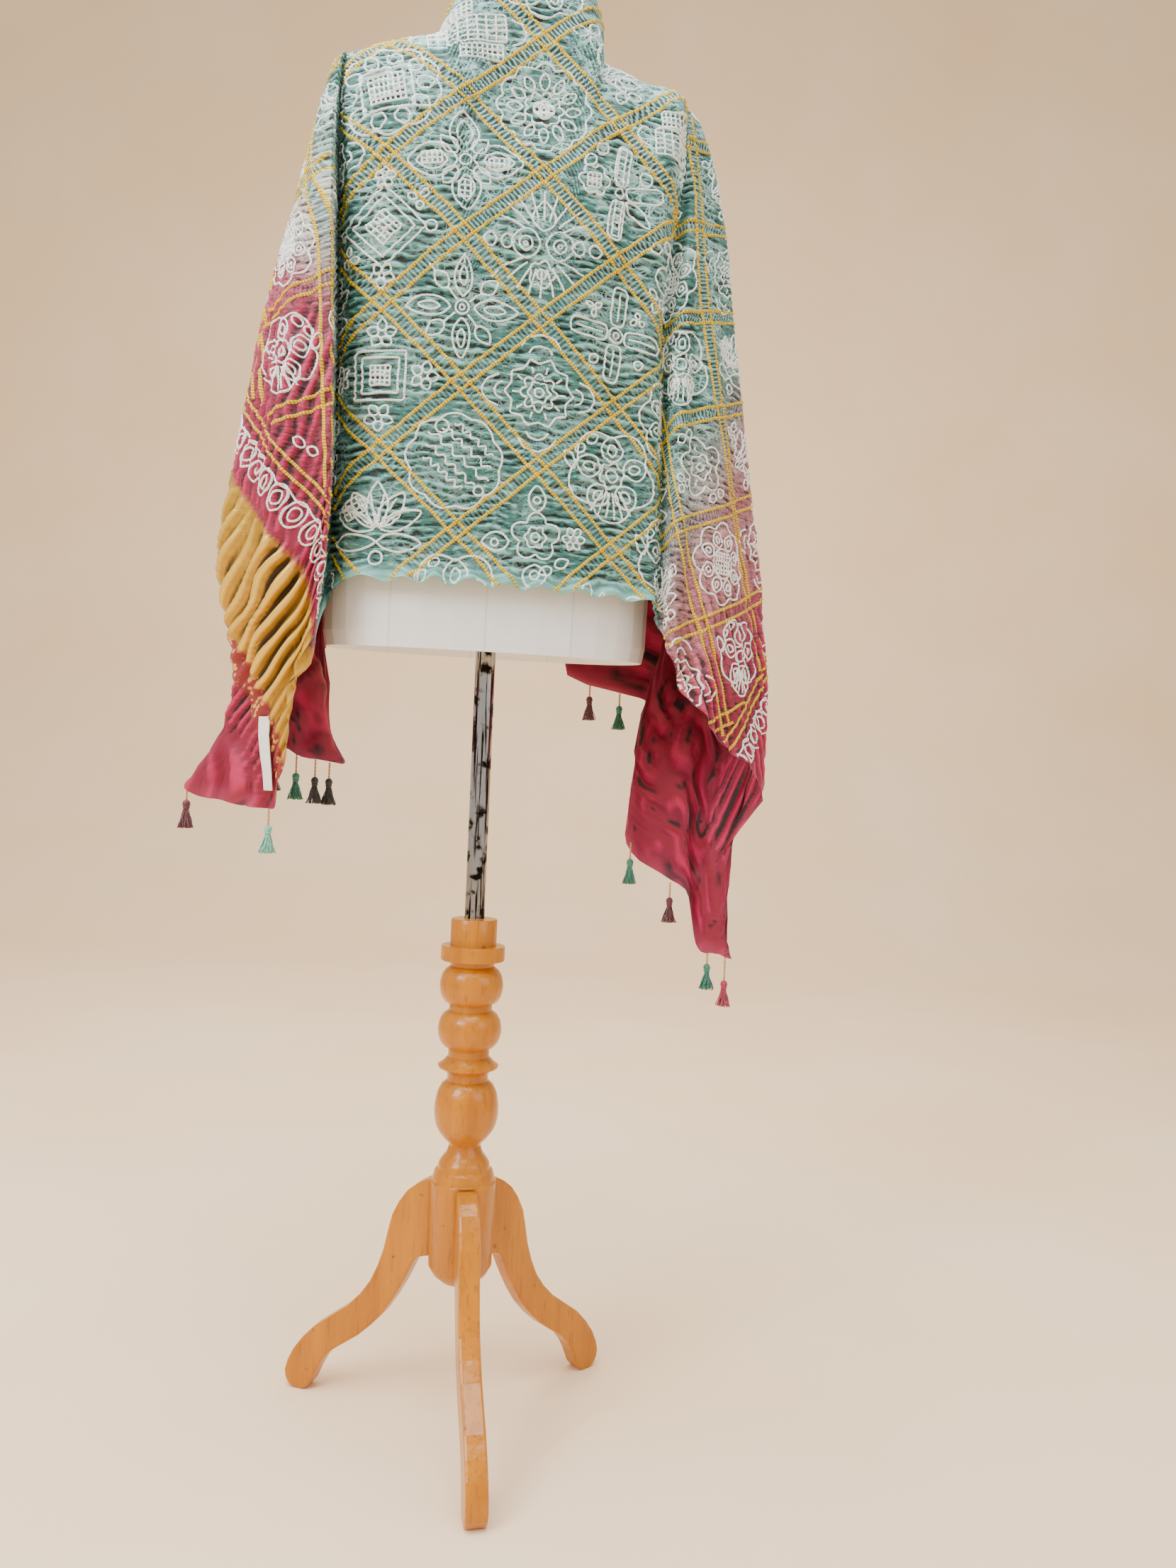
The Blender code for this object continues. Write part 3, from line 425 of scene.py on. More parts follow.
grid_place, grid_fall = {}, {}
for side in ("left", "right"):
    places, start = [0.0], 0.0
    for end, count in COLUMNS[side]:
        places += [start + (end - start) * k / count for k in range(1, count + 1)]
        start = end
    grid_place[side] = np.array(places)
    grid_fall[side] = fall_lines(side, grid_place[side], DROP)

ridge_drop = np.linspace(0.0, 1.0, RIDGE_COLS + 1) ** 1.25
ridge = {side: ridge_line(side, ridge_drop) for side in ("left", "right")}
neck_rows = np.array([row[1:] for row in NECK])
neck_line = hermite(np.arange(len(NECK)), neck_rows, np.linspace(0, len(NECK) - 1, NECK_COLS + 1)[1:-1])
chest_top = np.vstack([ridge["left"], neck_line, ridge["right"][::-1]])
RIDGE_SHARE = 20 / 48     # of the hem, below each ridge
across = np.concatenate([np.linspace(0, RIDGE_SHARE, RIDGE_COLS + 1),
                         np.linspace(RIDGE_SHARE, 1 - RIDGE_SHARE, NECK_COLS + 1)[1:],
                         np.linspace(1 - RIDGE_SHARE, 1, RIDGE_COLS + 1)[1:]])
edge_l, edge_r = grid_fall["left"][0], grid_fall["right"][0]
chest = np.zeros((len(across), ROWS + 1, 3))
for i, s in enumerate(across):
    hem = edge_l[-1] + (edge_r[-1] - edge_l[-1]) * s
    x = chest_top[i, 0] + (hem[0] - chest_top[i, 0]) * DROP ** 0.75
    z = chest_top[i, 2] + (hem[2] - chest_top[i, 2]) * DROP
    low = chest_top[i, 2] - CAP
    f = np.clip((z - low) / CAP, 0.0, 1.0)
    off = np.sqrt(1 - f ** 2)
    y = chest_depth(x, np.minimum(z, low)) * off + chest_top[i, 1] * (1 - off)
    chest[i] = np.column_stack([x, y, z])
near_l = np.clip(1 - across / EDGE_REACH, 0, 1) ** 2
near_r = np.clip(1 - (1 - across) / EDGE_REACH, 0, 1) ** 2
chest += near_l[:, None, None] * (edge_l - chest[0])[None]
chest += near_r[:, None, None] * (edge_r - chest[-1])[None]
chest[:, 0] = chest_top
print("chest grid", chest.shape, "falls", {s: g.shape for s, g in grid_fall.items()})

# %% Points and faces
points, part_of = [], []             # form frame; chest 0, left 1, right 2
place_of, drop_of, out_of = [], [], []


def add_points(block, part, place, drop, out):
    """Adds a block of points and returns their numbers, in the block's shape."""
    first = len(points)
    count = block.shape[0] * block.shape[1]
    points.extend(block.reshape(-1, 3))
    part_of.extend([part] * count)
    place_of.extend(np.broadcast_to(place, block.shape[:2]).ravel())
    drop_of.extend(np.broadcast_to(drop, block.shape[:2]).ravel())
    out_of.extend(np.broadcast_to(out, block.shape[:2]).ravel())
    return np.arange(first, first + count).reshape(block.shape[:2])


def quads(ids, flip=False):
    a, b, c, d = ids[:-1, :-1], ids[:-1, 1:], ids[1:, 1:], ids[1:, :-1]
    rows = np.stack([a, b, c, d] if not flip else [a, d, c, b], -1).reshape(-1, 4)
    return [tuple(dict.fromkeys(map(int, q))) for q in rows]


chest_ids = add_points(chest, 0, across[:, None], DROP[None, :], 0.0)
faces = quads(chest_ids)
seam = {"left": chest_ids[0], "right": chest_ids[-1]}
ridge_ids = {"left": chest_ids[:RIDGE_COLS + 1, 0], "right": chest_ids[:-RIDGE_COLS - 2:-1, 0]}
for part, side in ((1, "left"), (2, "right")):
    block = grid_fall[side]
    plan = np.linalg.norm(np.diff(block[:, :, :2], axis=0), axis=2)
    out = np.vstack([np.zeros((1, ROWS + 1)), np.cumsum(plan, axis=0)])
    ids = np.zeros(block.shape[:2], int)
    ids[0] = seam[side]
    ids[1:, 1:] = add_points(block[1:, 1:], part, grid_place[side][1:, None], DROP[None, 1:],
                             out[1:, 1:])
    ids[:, 0] = seam[side][0]
    faces += quads(ids, flip=side == "left")
    # a strip joins the last column to the ridge, which has fewer points
    column, top = ids[-1], ridge_ids[side]
    i = j = 0
    while i < ROWS or j < RIDGE_COLS:
        if j == RIDGE_COLS or (i < ROWS and DROP[i + 1] <= ridge_drop[j + 1]):
            tri = (column[i], column[i + 1], top[j])
            i += 1
        else:
            tri = (column[i], top[j + 1], top[j])
            j += 1
        tri = tuple(dict.fromkeys(int(t) for t in tri))
        if len(tri) == 3:
            faces.append(tri[::-1] if side == "left" else tri)

points = np.array(points)
part_of = np.array(part_of)
place_of, drop_of, out_of = np.array(place_of), np.array(drop_of), np.array(out_of)
print("points", len(points), "triangles", sum(len(f) - 2 for f in faces))

# %% [markdown]
# ## Where a point lies on the flat cloth
# On the chest the cloth's length runs level and its width upright.  A fall hangs on the bias:
# there a point has a way out round the fall and a way down it, and the cloth's length is the
# sum of both at 45 degrees.  The dye, the gold band and the border follow that length.

# %% Flat places, trellis places
VALLEY = {1: 0.07, 2: 0.06}          # bottom of the valley beside the chest
PANEL_END = 0.92                     # past it the cloth lies over the shoulder again
# crossings of the chest's trellis: place of number (0, 0) and the steps between crossings
CHEST_ORIGIN = np.array((-0.0477, 1.1243))
CHEST_STEPS = np.array(((0.0797, 0.0715), (0.0825, -0.0791)))
# on a fall: first line out and down, spacing out and down, lean of the upright lines and slope
# of the level ones
FALL_TRELLIS = {1: (-0.004, 0.140, 0.096, 0.120, 0.0, 0.36),
                2: (-0.105, 0.180, 0.105, 0.115, 0.32, -0.40)}
BORDER = {1: 0.436, 2: 0.608}        # length from the shoulder to the border's two lines
GOLD_FROM, GOLD_TO = 0.500, 0.606    # length at the left fall's gold band

tip_z = np.array((0.0, TIP["left"][2], TIP["right"][2]))[part_of]
edge_x = np.where(part_of == 1, np.interp(drop_of, DROP, edge_l[:, 0]),
                  np.interp(drop_of, DROP, edge_r[:, 0]))
down_of = tip_z - points[:, 2]
length_of = np.where(part_of == 0, 0.0, math.cos(BIAS) * out_of + math.sin(BIAS) * down_of)
is_fall = ((part_of == 1) & (place_of > VALLEY[1]) | (part_of == 2) & (place_of > VALLEY[2]))
is_fall &= place_of < PANEL_END
side_sign = np.array((0, -1, 1))[part_of]
flat_x = np.where(part_of == 0, points[:, 0], edge_x + side_sign * out_of)
flat = np.where(is_fall[:, None], np.stack([out_of, down_of], 1),
                np.stack([flat_x, points[:, 2]], 1))
trellis = (flat - CHEST_ORIGIN) @ np.linalg.inv(CHEST_STEPS)
for part, (out0, down0, step_out, step_down, lean, slope) in FALL_TRELLIS.items():
    here = is_fall & (part_of == part)
    o, d = flat[here, 0], flat[here, 1]
    trellis[here] = np.stack([(o - lean * d - out0) / step_out,
                              (d - slope * o - down0) / step_down], 1)
print("on the falls:", int(is_fall.sum()), "longest way out %.3f m" % out_of.max())

# %% [markdown]
# ## Crinkles and pleats
# Bandhani silk is tied in thousands of tiny knots and kept crinkled.  The ridges are 8 to 9 mm
# apart on the chest, run with the cloth's length and are broken every few centimetres.  In the
# dyed ends they are longer pleats, and the stiff gold band stands in rope-like ones.  The two
# tails and the inner side of the right fall are smooth, with a few sharp creases.


# %% Kinds of crease
def smooth(a, b, x):
    t = np.clip((np.asarray(x, float) - a) / (b - a), 0.0, 1.0)
    return t * t * (3 - 2 * t)


def noise_at(u, v, seed):
    """Smooth noise, -1 to 1, at arrays u and v."""
    return np.fromiter((noise.noise((a, b, seed)) for a, b in zip(u, v)), float, len(u))


def crinkles(cross, along, apart, seed, breaks=30.0, wander=0.9):
    """Ridges at cross, -1 to 1, about apart metres from each other and broken along."""
    shift = wander * noise_at(along * breaks, cross * breaks * 0.9, seed)
    shift += 0.35 * noise_at(along * breaks * 3, cross * breaks * 3, seed + 4.0)
    wave = np.sin(2 * math.pi * (cross / apart + shift))
    worn = noise_at(along * breaks * 0.8, cross * breaks * 1.6, seed + 9.0)
    patch = 0.40 + 0.60 * smooth(-0.35, 0.30, worn)
    return np.sign(wave) * np.abs(wave) ** 0.8 * patch


def from_crease(u, v, seed):
    """Distance from the nearest winding crease line, in units of u and v."""
    step = 0.03
    here = noise_at(u, v, seed)
    rise = np.hypot(noise_at(u + step, v, seed) - here, noise_at(u, v + step, seed) - here)
    slope = rise / step
    return np.abs(here) / np.maximum(slope, 0.35)


def folds(cross, along, apart, seed):
    """Soft folds between sharp creases: their height, -0.5 to 0.8, and 1 in the creases."""
    u, v = cross / apart, along / apart * 0.30
    u = u + 0.45 * noise_at(u * 0.6, v * 1.4, seed + 5.0)
    first = from_crease(u, v, seed)
    second = from_crease(0.55 * u + 0.4 * v, 0.9 * v, seed + 3.0)
    broken = smooth(-0.25, 0.15, noise_at(u * 0.5, v * 0.8, seed + 8.0))
    crease = np.maximum((1 - smooth(0.0, 0.13, first)) * broken,
                        0.7 * (1 - smooth(0.0, 0.06, second)))
    return smooth(0.0, 0.50, first) + 0.45 * smooth(0.0, 0.35, second) - 0.6, crease


def leaning(angle):
    """Across and along pleats on a fall that lean by an angle from the upright."""
    a = math.radians(angle)
    return (out_of * math.cos(a) - down_of * math.sin(a),
            out_of * math.sin(a) + down_of * math.cos(a))


def hanging(angle):
    """Across and along creases that lean by an angle as seen from the front."""
    a = math.radians(angle)
    return (seen_at[:, 0] * math.cos(a) - seen_at[:, 2] * math.sin(a),
            seen_at[:, 0] * math.sin(a) + seen_at[:, 2] * math.cos(a))


# of each kind: metres apart, metres high
FINE_APART, FINE_HIGH = 0.0086, 0.0017
PLEAT_APART, PLEAT_HIGH = 0.0125, 0.0028
ROPE_APART, ROPE_HIGH = 0.0200, 0.0062
LENS_APART, LENS_HIGH = 0.017, 0.0062
TAIL_APART, TAIL_HIGH = 0.022, 0.0068
seen_at = turned_out(points)
uneven = noise_at(flat[:, 0] * 24, flat[:, 1] * 24, 3.0)
length_here = length_of + 0.010 * uneven
fine = crinkles(flat[:, 1], flat[:, 0], FINE_APART, 11.0)
pleats = crinkles(*leaning(20.0), PLEAT_APART, 21.0, breaks=14.0, wander=0.55)
ropes = crinkles(*leaning(38.0), ROPE_APART, 31.0, breaks=9.0, wander=0.40)
# the inner side of the right fall leans at the top and hangs straight below
upper, upper_crease = folds(*hanging(42.0), LENS_APART, 41.0)
lower, lower_crease = folds(*hanging(4.0), LENS_APART, 43.0)
high_up = smooth(0.92, 1.00, seen_at[:, 2] + 0.5 * (seen_at[:, 0] - 0.24))
lens = lower + (upper - lower) * high_up
lens_crease = lower_crease + (upper_crease - lower_crease) * high_up
soft, soft_crease = folds(*hanging(16.0), TAIL_APART, 45.0)
print("crinkles %.1f mm apart, pleats %.1f, ropes %.1f" % (
    FINE_APART * 1000, PLEAT_APART * 1000, ROPE_APART * 1000))

# %% Where each kind of crease lies
on_left, on_right = part_of == 1, part_of == 2
inside = on_right & (place_of > 0.50) & (place_of < 0.76)
start = np.where(on_left, 0.268, 0.440)
w_pleat = np.where(is_fall, smooth(start, start + 0.07, length_here), 0.0)
w_rope = np.where(is_fall & on_left, smooth(GOLD_FROM - 0.015, GOLD_FROM + 0.012, length_of)
                  * (1 - smooth(GOLD_TO - 0.01, GOLD_TO + 0.03, length_of)), 0.0)
w_lens = np.where(inside, smooth(0.25, 0.40, down_of), 0.0)
tail_from = np.where(on_left, 0.635, 0.790)
w_soft = np.where(is_fall, smooth(tail_from, tail_from + 0.03, length_of), 0.0) * (1 - w_lens)
w_rope *= 1 - w_soft
w_pleat = w_pleat * (1 - w_rope) * (1 - w_lens) * (1 - w_soft)
w_fine = (1 - w_pleat) * (1 - w_rope) * (1 - w_lens) * (1 - w_soft)
print("points in pleats:", int((w_pleat > 0.5).sum()), "in ropes:", int((w_rope > 0.5).sum()))

# %% Relief for the painted shade and highlights, and height
# the relief level runs from 0 in the creases to 1 on the crests, and the silk's colour turns it into
# painted shade in the creases and painted highlights on the crests
relief = 0.5 + 0.5 * np.clip(fine * w_fine + pleats * w_pleat + (ropes + 0.18) * w_rope, -1, 1)
# painted light on the soft folds: lighter where a fold stands high, with painted shade along its sharp
# creases
relief += w_lens * (0.06 + 0.34 * lens - 0.30 * lens_crease)
relief += w_soft * (0.12 + 0.30 * soft - 0.30 * soft_crease)
# painted shade: the colour is darkened in the deep valley between the left fall and the chest
valley = np.exp(-((place_of - VALLEY[1]) / 0.022) ** 2)
valley *= smooth(0.12, 0.3, drop_of) * (1 - smooth(0.85, 0.95, drop_of))
relief -= 0.55 * valley * on_left
# past the border the pleats get less painted shade
past_border = np.where(on_left, BORDER[1], BORDER[2]) + 0.02
past_pleats = w_pleat * smooth(past_border, past_border + 0.03, length_of)
relief += 0.10 * past_pleats
plain = np.clip(w_lens + w_soft + 0.8 * past_pleats, 0, 1)

height = FINE_HIGH * fine * w_fine + PLEAT_HIGH * pleats * w_pleat + ROPE_HIGH * ropes * w_rope
height += LENS_HIGH * lens * w_lens + TAIL_HIGH * soft * w_soft
height += 0.0004 * fine * (w_pleat + w_lens)
height += 0.0012 * noise_at(flat[:, 0] * 16, flat[:, 1] * 16, 51.0)
print("heights %.1f to %.1f mm" % (height.min() * 1000, height.max() * 1000))

# %% Broad folds and the curled hem
HEM_WAVE = 0.037          # m from one curl of the hem to the next

broad = fold_height("chest", place_of, drop_of) * np.sin(math.pi * place_of) * (part_of == 0)
for part, name in ((1, "left"), (2, "right")):
    here = part_of == part
    lift = fold_height(name, place_of, drop_of)
    lift += RUFFLE * np.clip((drop_of - 0.88) / 0.12, 0, 1) * np.sin(60 * place_of)
    broad += np.where(here, lift * np.clip(np.sin(math.pi * place_of), 0, 1) ** 0.3, 0.0)
hem = np.where(part_of == 0, smooth(0.968, 1.0, drop_of), smooth(0.978, 1.0, drop_of))
zero = 0 * flat[:, 0]
curl = np.sin(flat[:, 0] * 2 * math.pi / HEM_WAVE + 4.0 * noise_at(flat[:, 0] * 14, zero, 61.0))
curl *= 0.55 + 0.75 * np.abs(noise_at(flat[:, 0] * 11, zero, 65.0))
broad += hem * np.where(part_of == 0, 0.0062 * curl + 0.0040, 0.0028 * curl)
hang = np.where(part_of == 0, 0.0036, 0.0020) * hem * (curl - 0.4)

# near the shoulder points and the ridge the cloth rests on the form, so it only rises there
rest = np.minimum(smooth(0.0, 0.10, drop_of), 1.0)
rest = np.where(part_of == 0, rest, np.minimum(rest, smooth(1.0, 0.95, place_of)))
height = np.where(height > 0, height, height * rest)
height *= 0.35 + 0.65 * smooth(0.0, 0.05, drop_of)
print("broad folds %.1f to %.1f mm" % (broad.min() * 1000, broad.max() * 1000))

# %% Mesh of the cloth
cloth_mesh = bpy.data.meshes.new("dupatta_cloth")
cloth_mesh.from_pydata([tuple(p) for p in turned_out(points)], [], faces)
cloth_mesh.update()
normal = np.zeros(len(points) * 3)
cloth_mesh.vertex_normals.foreach_get("vector", normal)
normal = normal.reshape(-1, 3)
place_3d = turned_out(points) + normal * (height + broad)[:, None]
place_3d[:, 2] += hang
cloth_mesh.vertices.foreach_set("co", place_3d.ravel())
cloth_mesh.update()
cloth_mesh.shade_smooth()
cloth = bpy.data.objects.new("dupatta_cloth", cloth_mesh)
bpy.context.scene.collection.objects.link(cloth)

# %% Where each dye lies
dyed = np.where(is_fall | (part_of > 0), smooth(start - 0.055, start + 0.045, length_here), 0.0)
dyed = np.where(on_right, smooth(0.32, 0.48, length_here + 0.35 * (out_of - 0.10)), dyed)
# the side of a fold that faces the chest keeps the chest's teal
near_chest = np.where(on_left, smooth(0.10, 0.135, place_of),
                      np.where(on_right, smooth(0.05, 0.09, place_of), 1.0))
dyed = dyed * near_chest
pale_l = smooth(0.12, 0.20, length_here) * (1 - smooth(0.225, 0.300, length_here))
pale_r = smooth(0.30, 0.40, length_here) * (1 - smooth(0.47, 0.55, length_here))
pale = np.where(on_left, 0.85 * pale_l, np.where(on_right, 0.24 * pale_r, 0.0)) * near_chest
# the right fall keeps its gold band rolled inside its folds, so only the left one shows it
STRIP_WIDE, SOFT_EDGE = 0.020, 0.002     # m
band_here = is_fall & on_left
past_gold = smooth(GOLD_TO - SOFT_EDGE, GOLD_TO + SOFT_EDGE, length_of)
in_gold = smooth(GOLD_FROM - SOFT_EDGE, GOLD_FROM + SOFT_EDGE, length_of + 0.004 * uneven)
gold = np.where(band_here, in_gold * (1 - past_gold) * near_chest, 0.0)
strip_end = GOLD_TO + STRIP_WIDE
past_strip = smooth(strip_end - SOFT_EDGE, strip_end + SOFT_EDGE, length_of)
strip = np.where(band_here, past_gold * (1 - past_strip), 0.0) * near_chest
border_at = np.where(on_left, BORDER[1], BORDER[2])
lace = np.where(part_of == 0, 0.30 + 0.55 * smooth(1.12, 1.42, points[:, 2]),
                0.65 * (1 - smooth(border_at - 0.10, border_at - 0.02, length_of)))
lace = np.where(part_of > 0, lace * (1 - 0.55 * dyed), lace) * np.where(inside, 0.0, 1.0)
lace *= np.where(hem > 0.3, 0.25, 1.0)
shares = {"dyed": dyed, "pale": pale, "gold": gold, "strip": strip, "lace": lace,
          "relief": np.clip(relief, 0, 1), "plain": plain,
          "hem": hem * np.where(is_fall & (dyed > 0.5), 0.15, 1.0)}
for name, values in shares.items():
    float_attribute(cloth_mesh, name, values)
for name, values in (("flat_place", flat), ("trellis_place", trellis)):
    layer = cloth_mesh.attributes.new(name, "FLOAT_VECTOR", "POINT")
    layer.data.foreach_set("vector", np.column_stack([values, np.zeros(len(values))]).ravel())
print("attributes on the cloth:", ", ".join(shares))

# %% [markdown]
# ## Finish of the silk
# The cloth is crinkled silk crepe, tied and dyed.  Matt threads with a faint sheen make it look
# powdery.  Its colour is painted paler on the ridges as painted highlight and darker in the creases
# as painted shade.  Between the motifs the cloth is covered with a fine net of undyed specks.
# Single specks are only 1 to 2 mm across, so the material draws them, on the flat cloth's own
# coordinates.

# %% Silk crepe: painted shade in the creases, painted highlight on the crests
silk, tree, shader = new_material("tie-dyed silk crepe")
seen = {name: node(tree, "ShaderNodeAttribute", {"attribute_name": name}).outputs["Fac"]
        for name in shares}
flat_place = node(tree, "ShaderNodeAttribute", {"attribute_name": "flat_place"}).outputs["Vector"]
trellis_place = node(tree, "ShaderNodeAttribute",
                     {"attribute_name": "trellis_place"}).outputs["Vector"]
# creases too fine for the mesh: level streaks 3 mm apart and 10 mm long, as bumps and as painted shade and
# highlight in the colour
streak_place = node(tree, "ShaderNodeMapping", Vector=flat_place, Scale=(0.30, 1.0, 1.0)).outputs[0]
streaks = node(tree, "ShaderNodeTexNoise", Vector=streak_place, Scale=330.0, Detail=3.0,
               Distortion=0.6).outputs["Fac"]
speckle = node(tree, "ShaderNodeTexNoise", Vector=flat_place, Scale=900.0, Detail=2.0).outputs["Fac"]
wide = node(tree, "ShaderNodeMath", {"operation": "MULTIPLY"}, i0=seen["relief"], i1=0.50).outputs[0]
# the gold band and the two tails hang smooth, without the small streaks
flat_here = node(tree, "ShaderNodeMath", {"operation": "MAXIMUM"}, i0=seen["plain"],
                 i1=seen["gold"]).outputs[0]
streaks = node(tree, "ShaderNodeMix", {"data_type": "FLOAT"}, Factor=flat_here, i2=streaks,
               i3=0.5).outputs[0]
level = node(tree, "ShaderNodeMath", {"operation": "MULTIPLY_ADD"}, i0=streaks, i1=0.80,
             i2=wide).outputs[0]
CREASE_SHADE, CREST_HIGHLIGHT = (0.62, 0.49), (0.70, 0.86)     # levels where each begins and is full
# painted shade where the level is low, painted highlight where it is high
crease = node(tree, "ShaderNodeMapRange", {"interpolation_type": "SMOOTHSTEP"}, Value=level,
              From_Min=CREASE_SHADE[0], From_Max=CREASE_SHADE[1]).outputs[0]
crest_highlight = node(tree, "ShaderNodeMapRange", {"interpolation_type": "SMOOTHSTEP"}, Value=level,
             From_Min=CREST_HIGHLIGHT[0], From_Max=CREST_HIGHLIGHT[1]).outputs[0]
print("creases below level %.2f, crests above %.2f" % (CREASE_SHADE[0], CREST_HIGHLIGHT[0]))

# %% Silk crepe: the dye, with painted highlights and painted shade
DYES_AND_PAINTED_LIGHT = {
    # dye: its own colour between, painted highlight on the crests, painted shade in the creases
    "teal": ("2A625A", "76B2A8", "020C0A"),
    "crimson": ("820830", "B71650", "1C0006"),
    "undyed": ("C4B2A6", "F4EAE2", "503A38"),
}
tone = {}
for name, (between, crests, creases) in DYES_AND_PAINTED_LIGHT.items():
    lit = node(tree, "ShaderNodeMix", {"data_type": "RGBA"}, Factor=crest_highlight, i6=linear(between),
               i7=linear(crests)).outputs[2]
    tone[name] = node(tree, "ShaderNodeMix", {"data_type": "RGBA"}, Factor=crease, i6=lit,
                      i7=linear(creases)).outputs[2]
body = node(tree, "ShaderNodeMix", {"data_type": "RGBA"}, Factor=seen["dyed"], i6=tone["teal"],
            i7=tone["crimson"]).outputs[2]
body = node(tree, "ShaderNodeMix", {"data_type": "RGBA"}, Factor=seen["pale"], i6=body,
            i7=tone["undyed"]).outputs[2]
print("dyes:", ", ".join(DYES_AND_PAINTED_LIGHT))

# %% Silk crepe: the net of undyed specks
net_place = node(tree, "ShaderNodeMapping", Vector=flat_place, Scale=(0.55, 1.0, 1.0)).outputs[0]
swirl = node(tree, "ShaderNodeTexNoise", Vector=net_place, Scale=60.0, Detail=2.0).outputs["Color"]
bent = node(tree, "ShaderNodeVectorMath", {"operation": "MULTIPLY_ADD"}, i0=swirl,
            i1=(0.010, 0.010, 0.0), i2=net_place).outputs[0]
NETS = ((105.0, 0.100, 0.040), (210.0, 0.085, 0.030))     # cells a metre, edge from, edge to
edges = []
for scale, low, high in NETS:
    cells = node(tree, "ShaderNodeTexVoronoi", {"feature": "DISTANCE_TO_EDGE"}, Vector=bent,
                 Scale=scale).outputs["Distance"]
    edges.append(node(tree, "ShaderNodeMapRange", {"interpolation_type": "SMOOTHSTEP"}, Value=cells,
                      From_Min=low, From_Max=high).outputs[0])
net = node(tree, "ShaderNodeMath", {"operation": "MAXIMUM"}, i0=edges[0], i1=edges[1]).outputs[0]
clouds = node(tree, "ShaderNodeTexNoise", Vector=flat_place, Scale=26.0, Detail=2.0).outputs["Fac"]
clouds = node(tree, "ShaderNodeMapRange", {"interpolation_type": "SMOOTHSTEP"}, Value=clouds,
              From_Min=0.40, From_Max=0.58).outputs[0]
net = node(tree, "ShaderNodeMath", {"operation": "MULTIPLY"}, i0=net, i1=clouds).outputs[0]
net = node(tree, "ShaderNodeMath", {"operation": "MULTIPLY", "use_clamp": True}, i0=net,
           i1=seen["lace"]).outputs[0]
speck = node(tree, "ShaderNodeMix", {"data_type": "RGBA"}, Factor=seen["dyed"],
             i6=linear("A9D2CB"), i7=linear("D98C9E")).outputs[2]
body = node(tree, "ShaderNodeMix", {"data_type": "RGBA"}, Factor=net, i6=body, i7=speck).outputs[2]
print("cells of the net: %s mm" % " and ".join("%.1f" % (1000 / row[0]) for row in NETS))

# %% Silk crepe: rungs between the two lines of the trellis
RUNGS = 150.0             # radians of the rungs' wave to one cell: 24 rungs, 5 mm apart
split = node(tree, "ShaderNodeSeparateXYZ", Vector=trellis_place)
for line, run in (("X", "Y"), ("Y", "X")):
    off = node(tree, "ShaderNodeMath", {"operation": "PINGPONG"}, i0=split.outputs[line], i1=0.5)
    near = node(tree, "ShaderNodeMapRange", {"interpolation_type": "SMOOTHSTEP"},
                Value=off.outputs[0], From_Min=0.080, From_Max=0.055).outputs[0]
    keep = node(tree, "ShaderNodeMath", {"operation": "MULTIPLY"}, i0=near, i1=seen["lace"]).outputs[0]
    turn = node(tree, "ShaderNodeMath", {"operation": "MULTIPLY"}, i0=split.outputs[run], i1=RUNGS)
    wave = node(tree, "ShaderNodeMath", {"operation": "SINE"}, i0=turn.outputs[0]).outputs[0]
    rung = node(tree, "ShaderNodeMapRange", {"interpolation_type": "SMOOTHSTEP"}, Value=wave,
                From_Min=-0.2, From_Max=0.7).outputs[0]
    # the pale rungs are the tied pattern, and the dark colour between them is painted shade of the creases
    rung_tone = node(tree, "ShaderNodeMix", {"data_type": "RGBA"}, Factor=rung,
                     i6=linear("0B2B29"), i7=linear("93C8C1")).outputs[2]
    dyed_rung = node(tree, "ShaderNodeMix", {"data_type": "RGBA"}, Factor=rung,
                     i6=linear("5E0B24"), i7=linear("B83E60")).outputs[2]
    rung_tone = node(tree, "ShaderNodeMix", {"data_type": "RGBA"}, Factor=seen["dyed"],
                     i6=rung_tone, i7=dyed_rung).outputs[2]
    body = node(tree, "ShaderNodeMix", {"data_type": "RGBA"}, Factor=keep, i6=body,
                i7=rung_tone).outputs[2]
print("rungs to a cell: %.0f" % (RUNGS / (2 * math.pi)))

# %% Silk crepe: gold band, strip and hem
# painted light on the gold band: noise paints glints, the crests get painted highlight and the creases
# painted shade
glint = node(tree, "ShaderNodeTexNoise", Vector=flat_place, Scale=70.0, Detail=4.0).outputs["Fac"]
gold_lit = node(tree, "ShaderNodeMix", {"data_type": "RGBA"}, Factor=glint, i6=linear("8E620C"),
                i7=linear("D9A92E")).outputs[2]
gold_lit = node(tree, "ShaderNodeMix", {"data_type": "RGBA"}, Factor=crest_highlight, i6=gold_lit,
                i7=linear("E6BC50")).outputs[2]
gold_tone = node(tree, "ShaderNodeMix", {"data_type": "RGBA"}, Factor=crease, i6=gold_lit,
                 i7=linear("2E1A03")).outputs[2]
dots = node(tree, "ShaderNodeTexVoronoi", Vector=flat_place, Scale=170.0).outputs["Distance"]
dot = node(tree, "ShaderNodeMapRange", {"interpolation_type": "SMOOTHSTEP"}, Value=dots,
           From_Min=0.42, From_Max=0.30).outputs[0]
strip_tone = node(tree, "ShaderNodeMix", {"data_type": "RGBA"}, Factor=dot, i6=linear("8E2A2E"),
                  i7=linear("D9A94A")).outputs[2]
hem_tone = node(tree, "ShaderNodeMix", {"data_type": "RGBA"}, Factor=seen["dyed"],
                i6=linear("79B8B0"), i7=linear("D85A84")).outputs[2]
for share, colour in ((seen["gold"], gold_tone), (seen["strip"], strip_tone), (seen["hem"], hem_tone)):
    body = node(tree, "ShaderNodeMix", {"data_type": "RGBA"}, Factor=share, i6=body,
                i7=colour).outputs[2]
tree.links.new(body, shader.inputs["Base Color"])
print("gold band %.0f mm wide" % (1000 * (GOLD_TO - GOLD_FROM)))

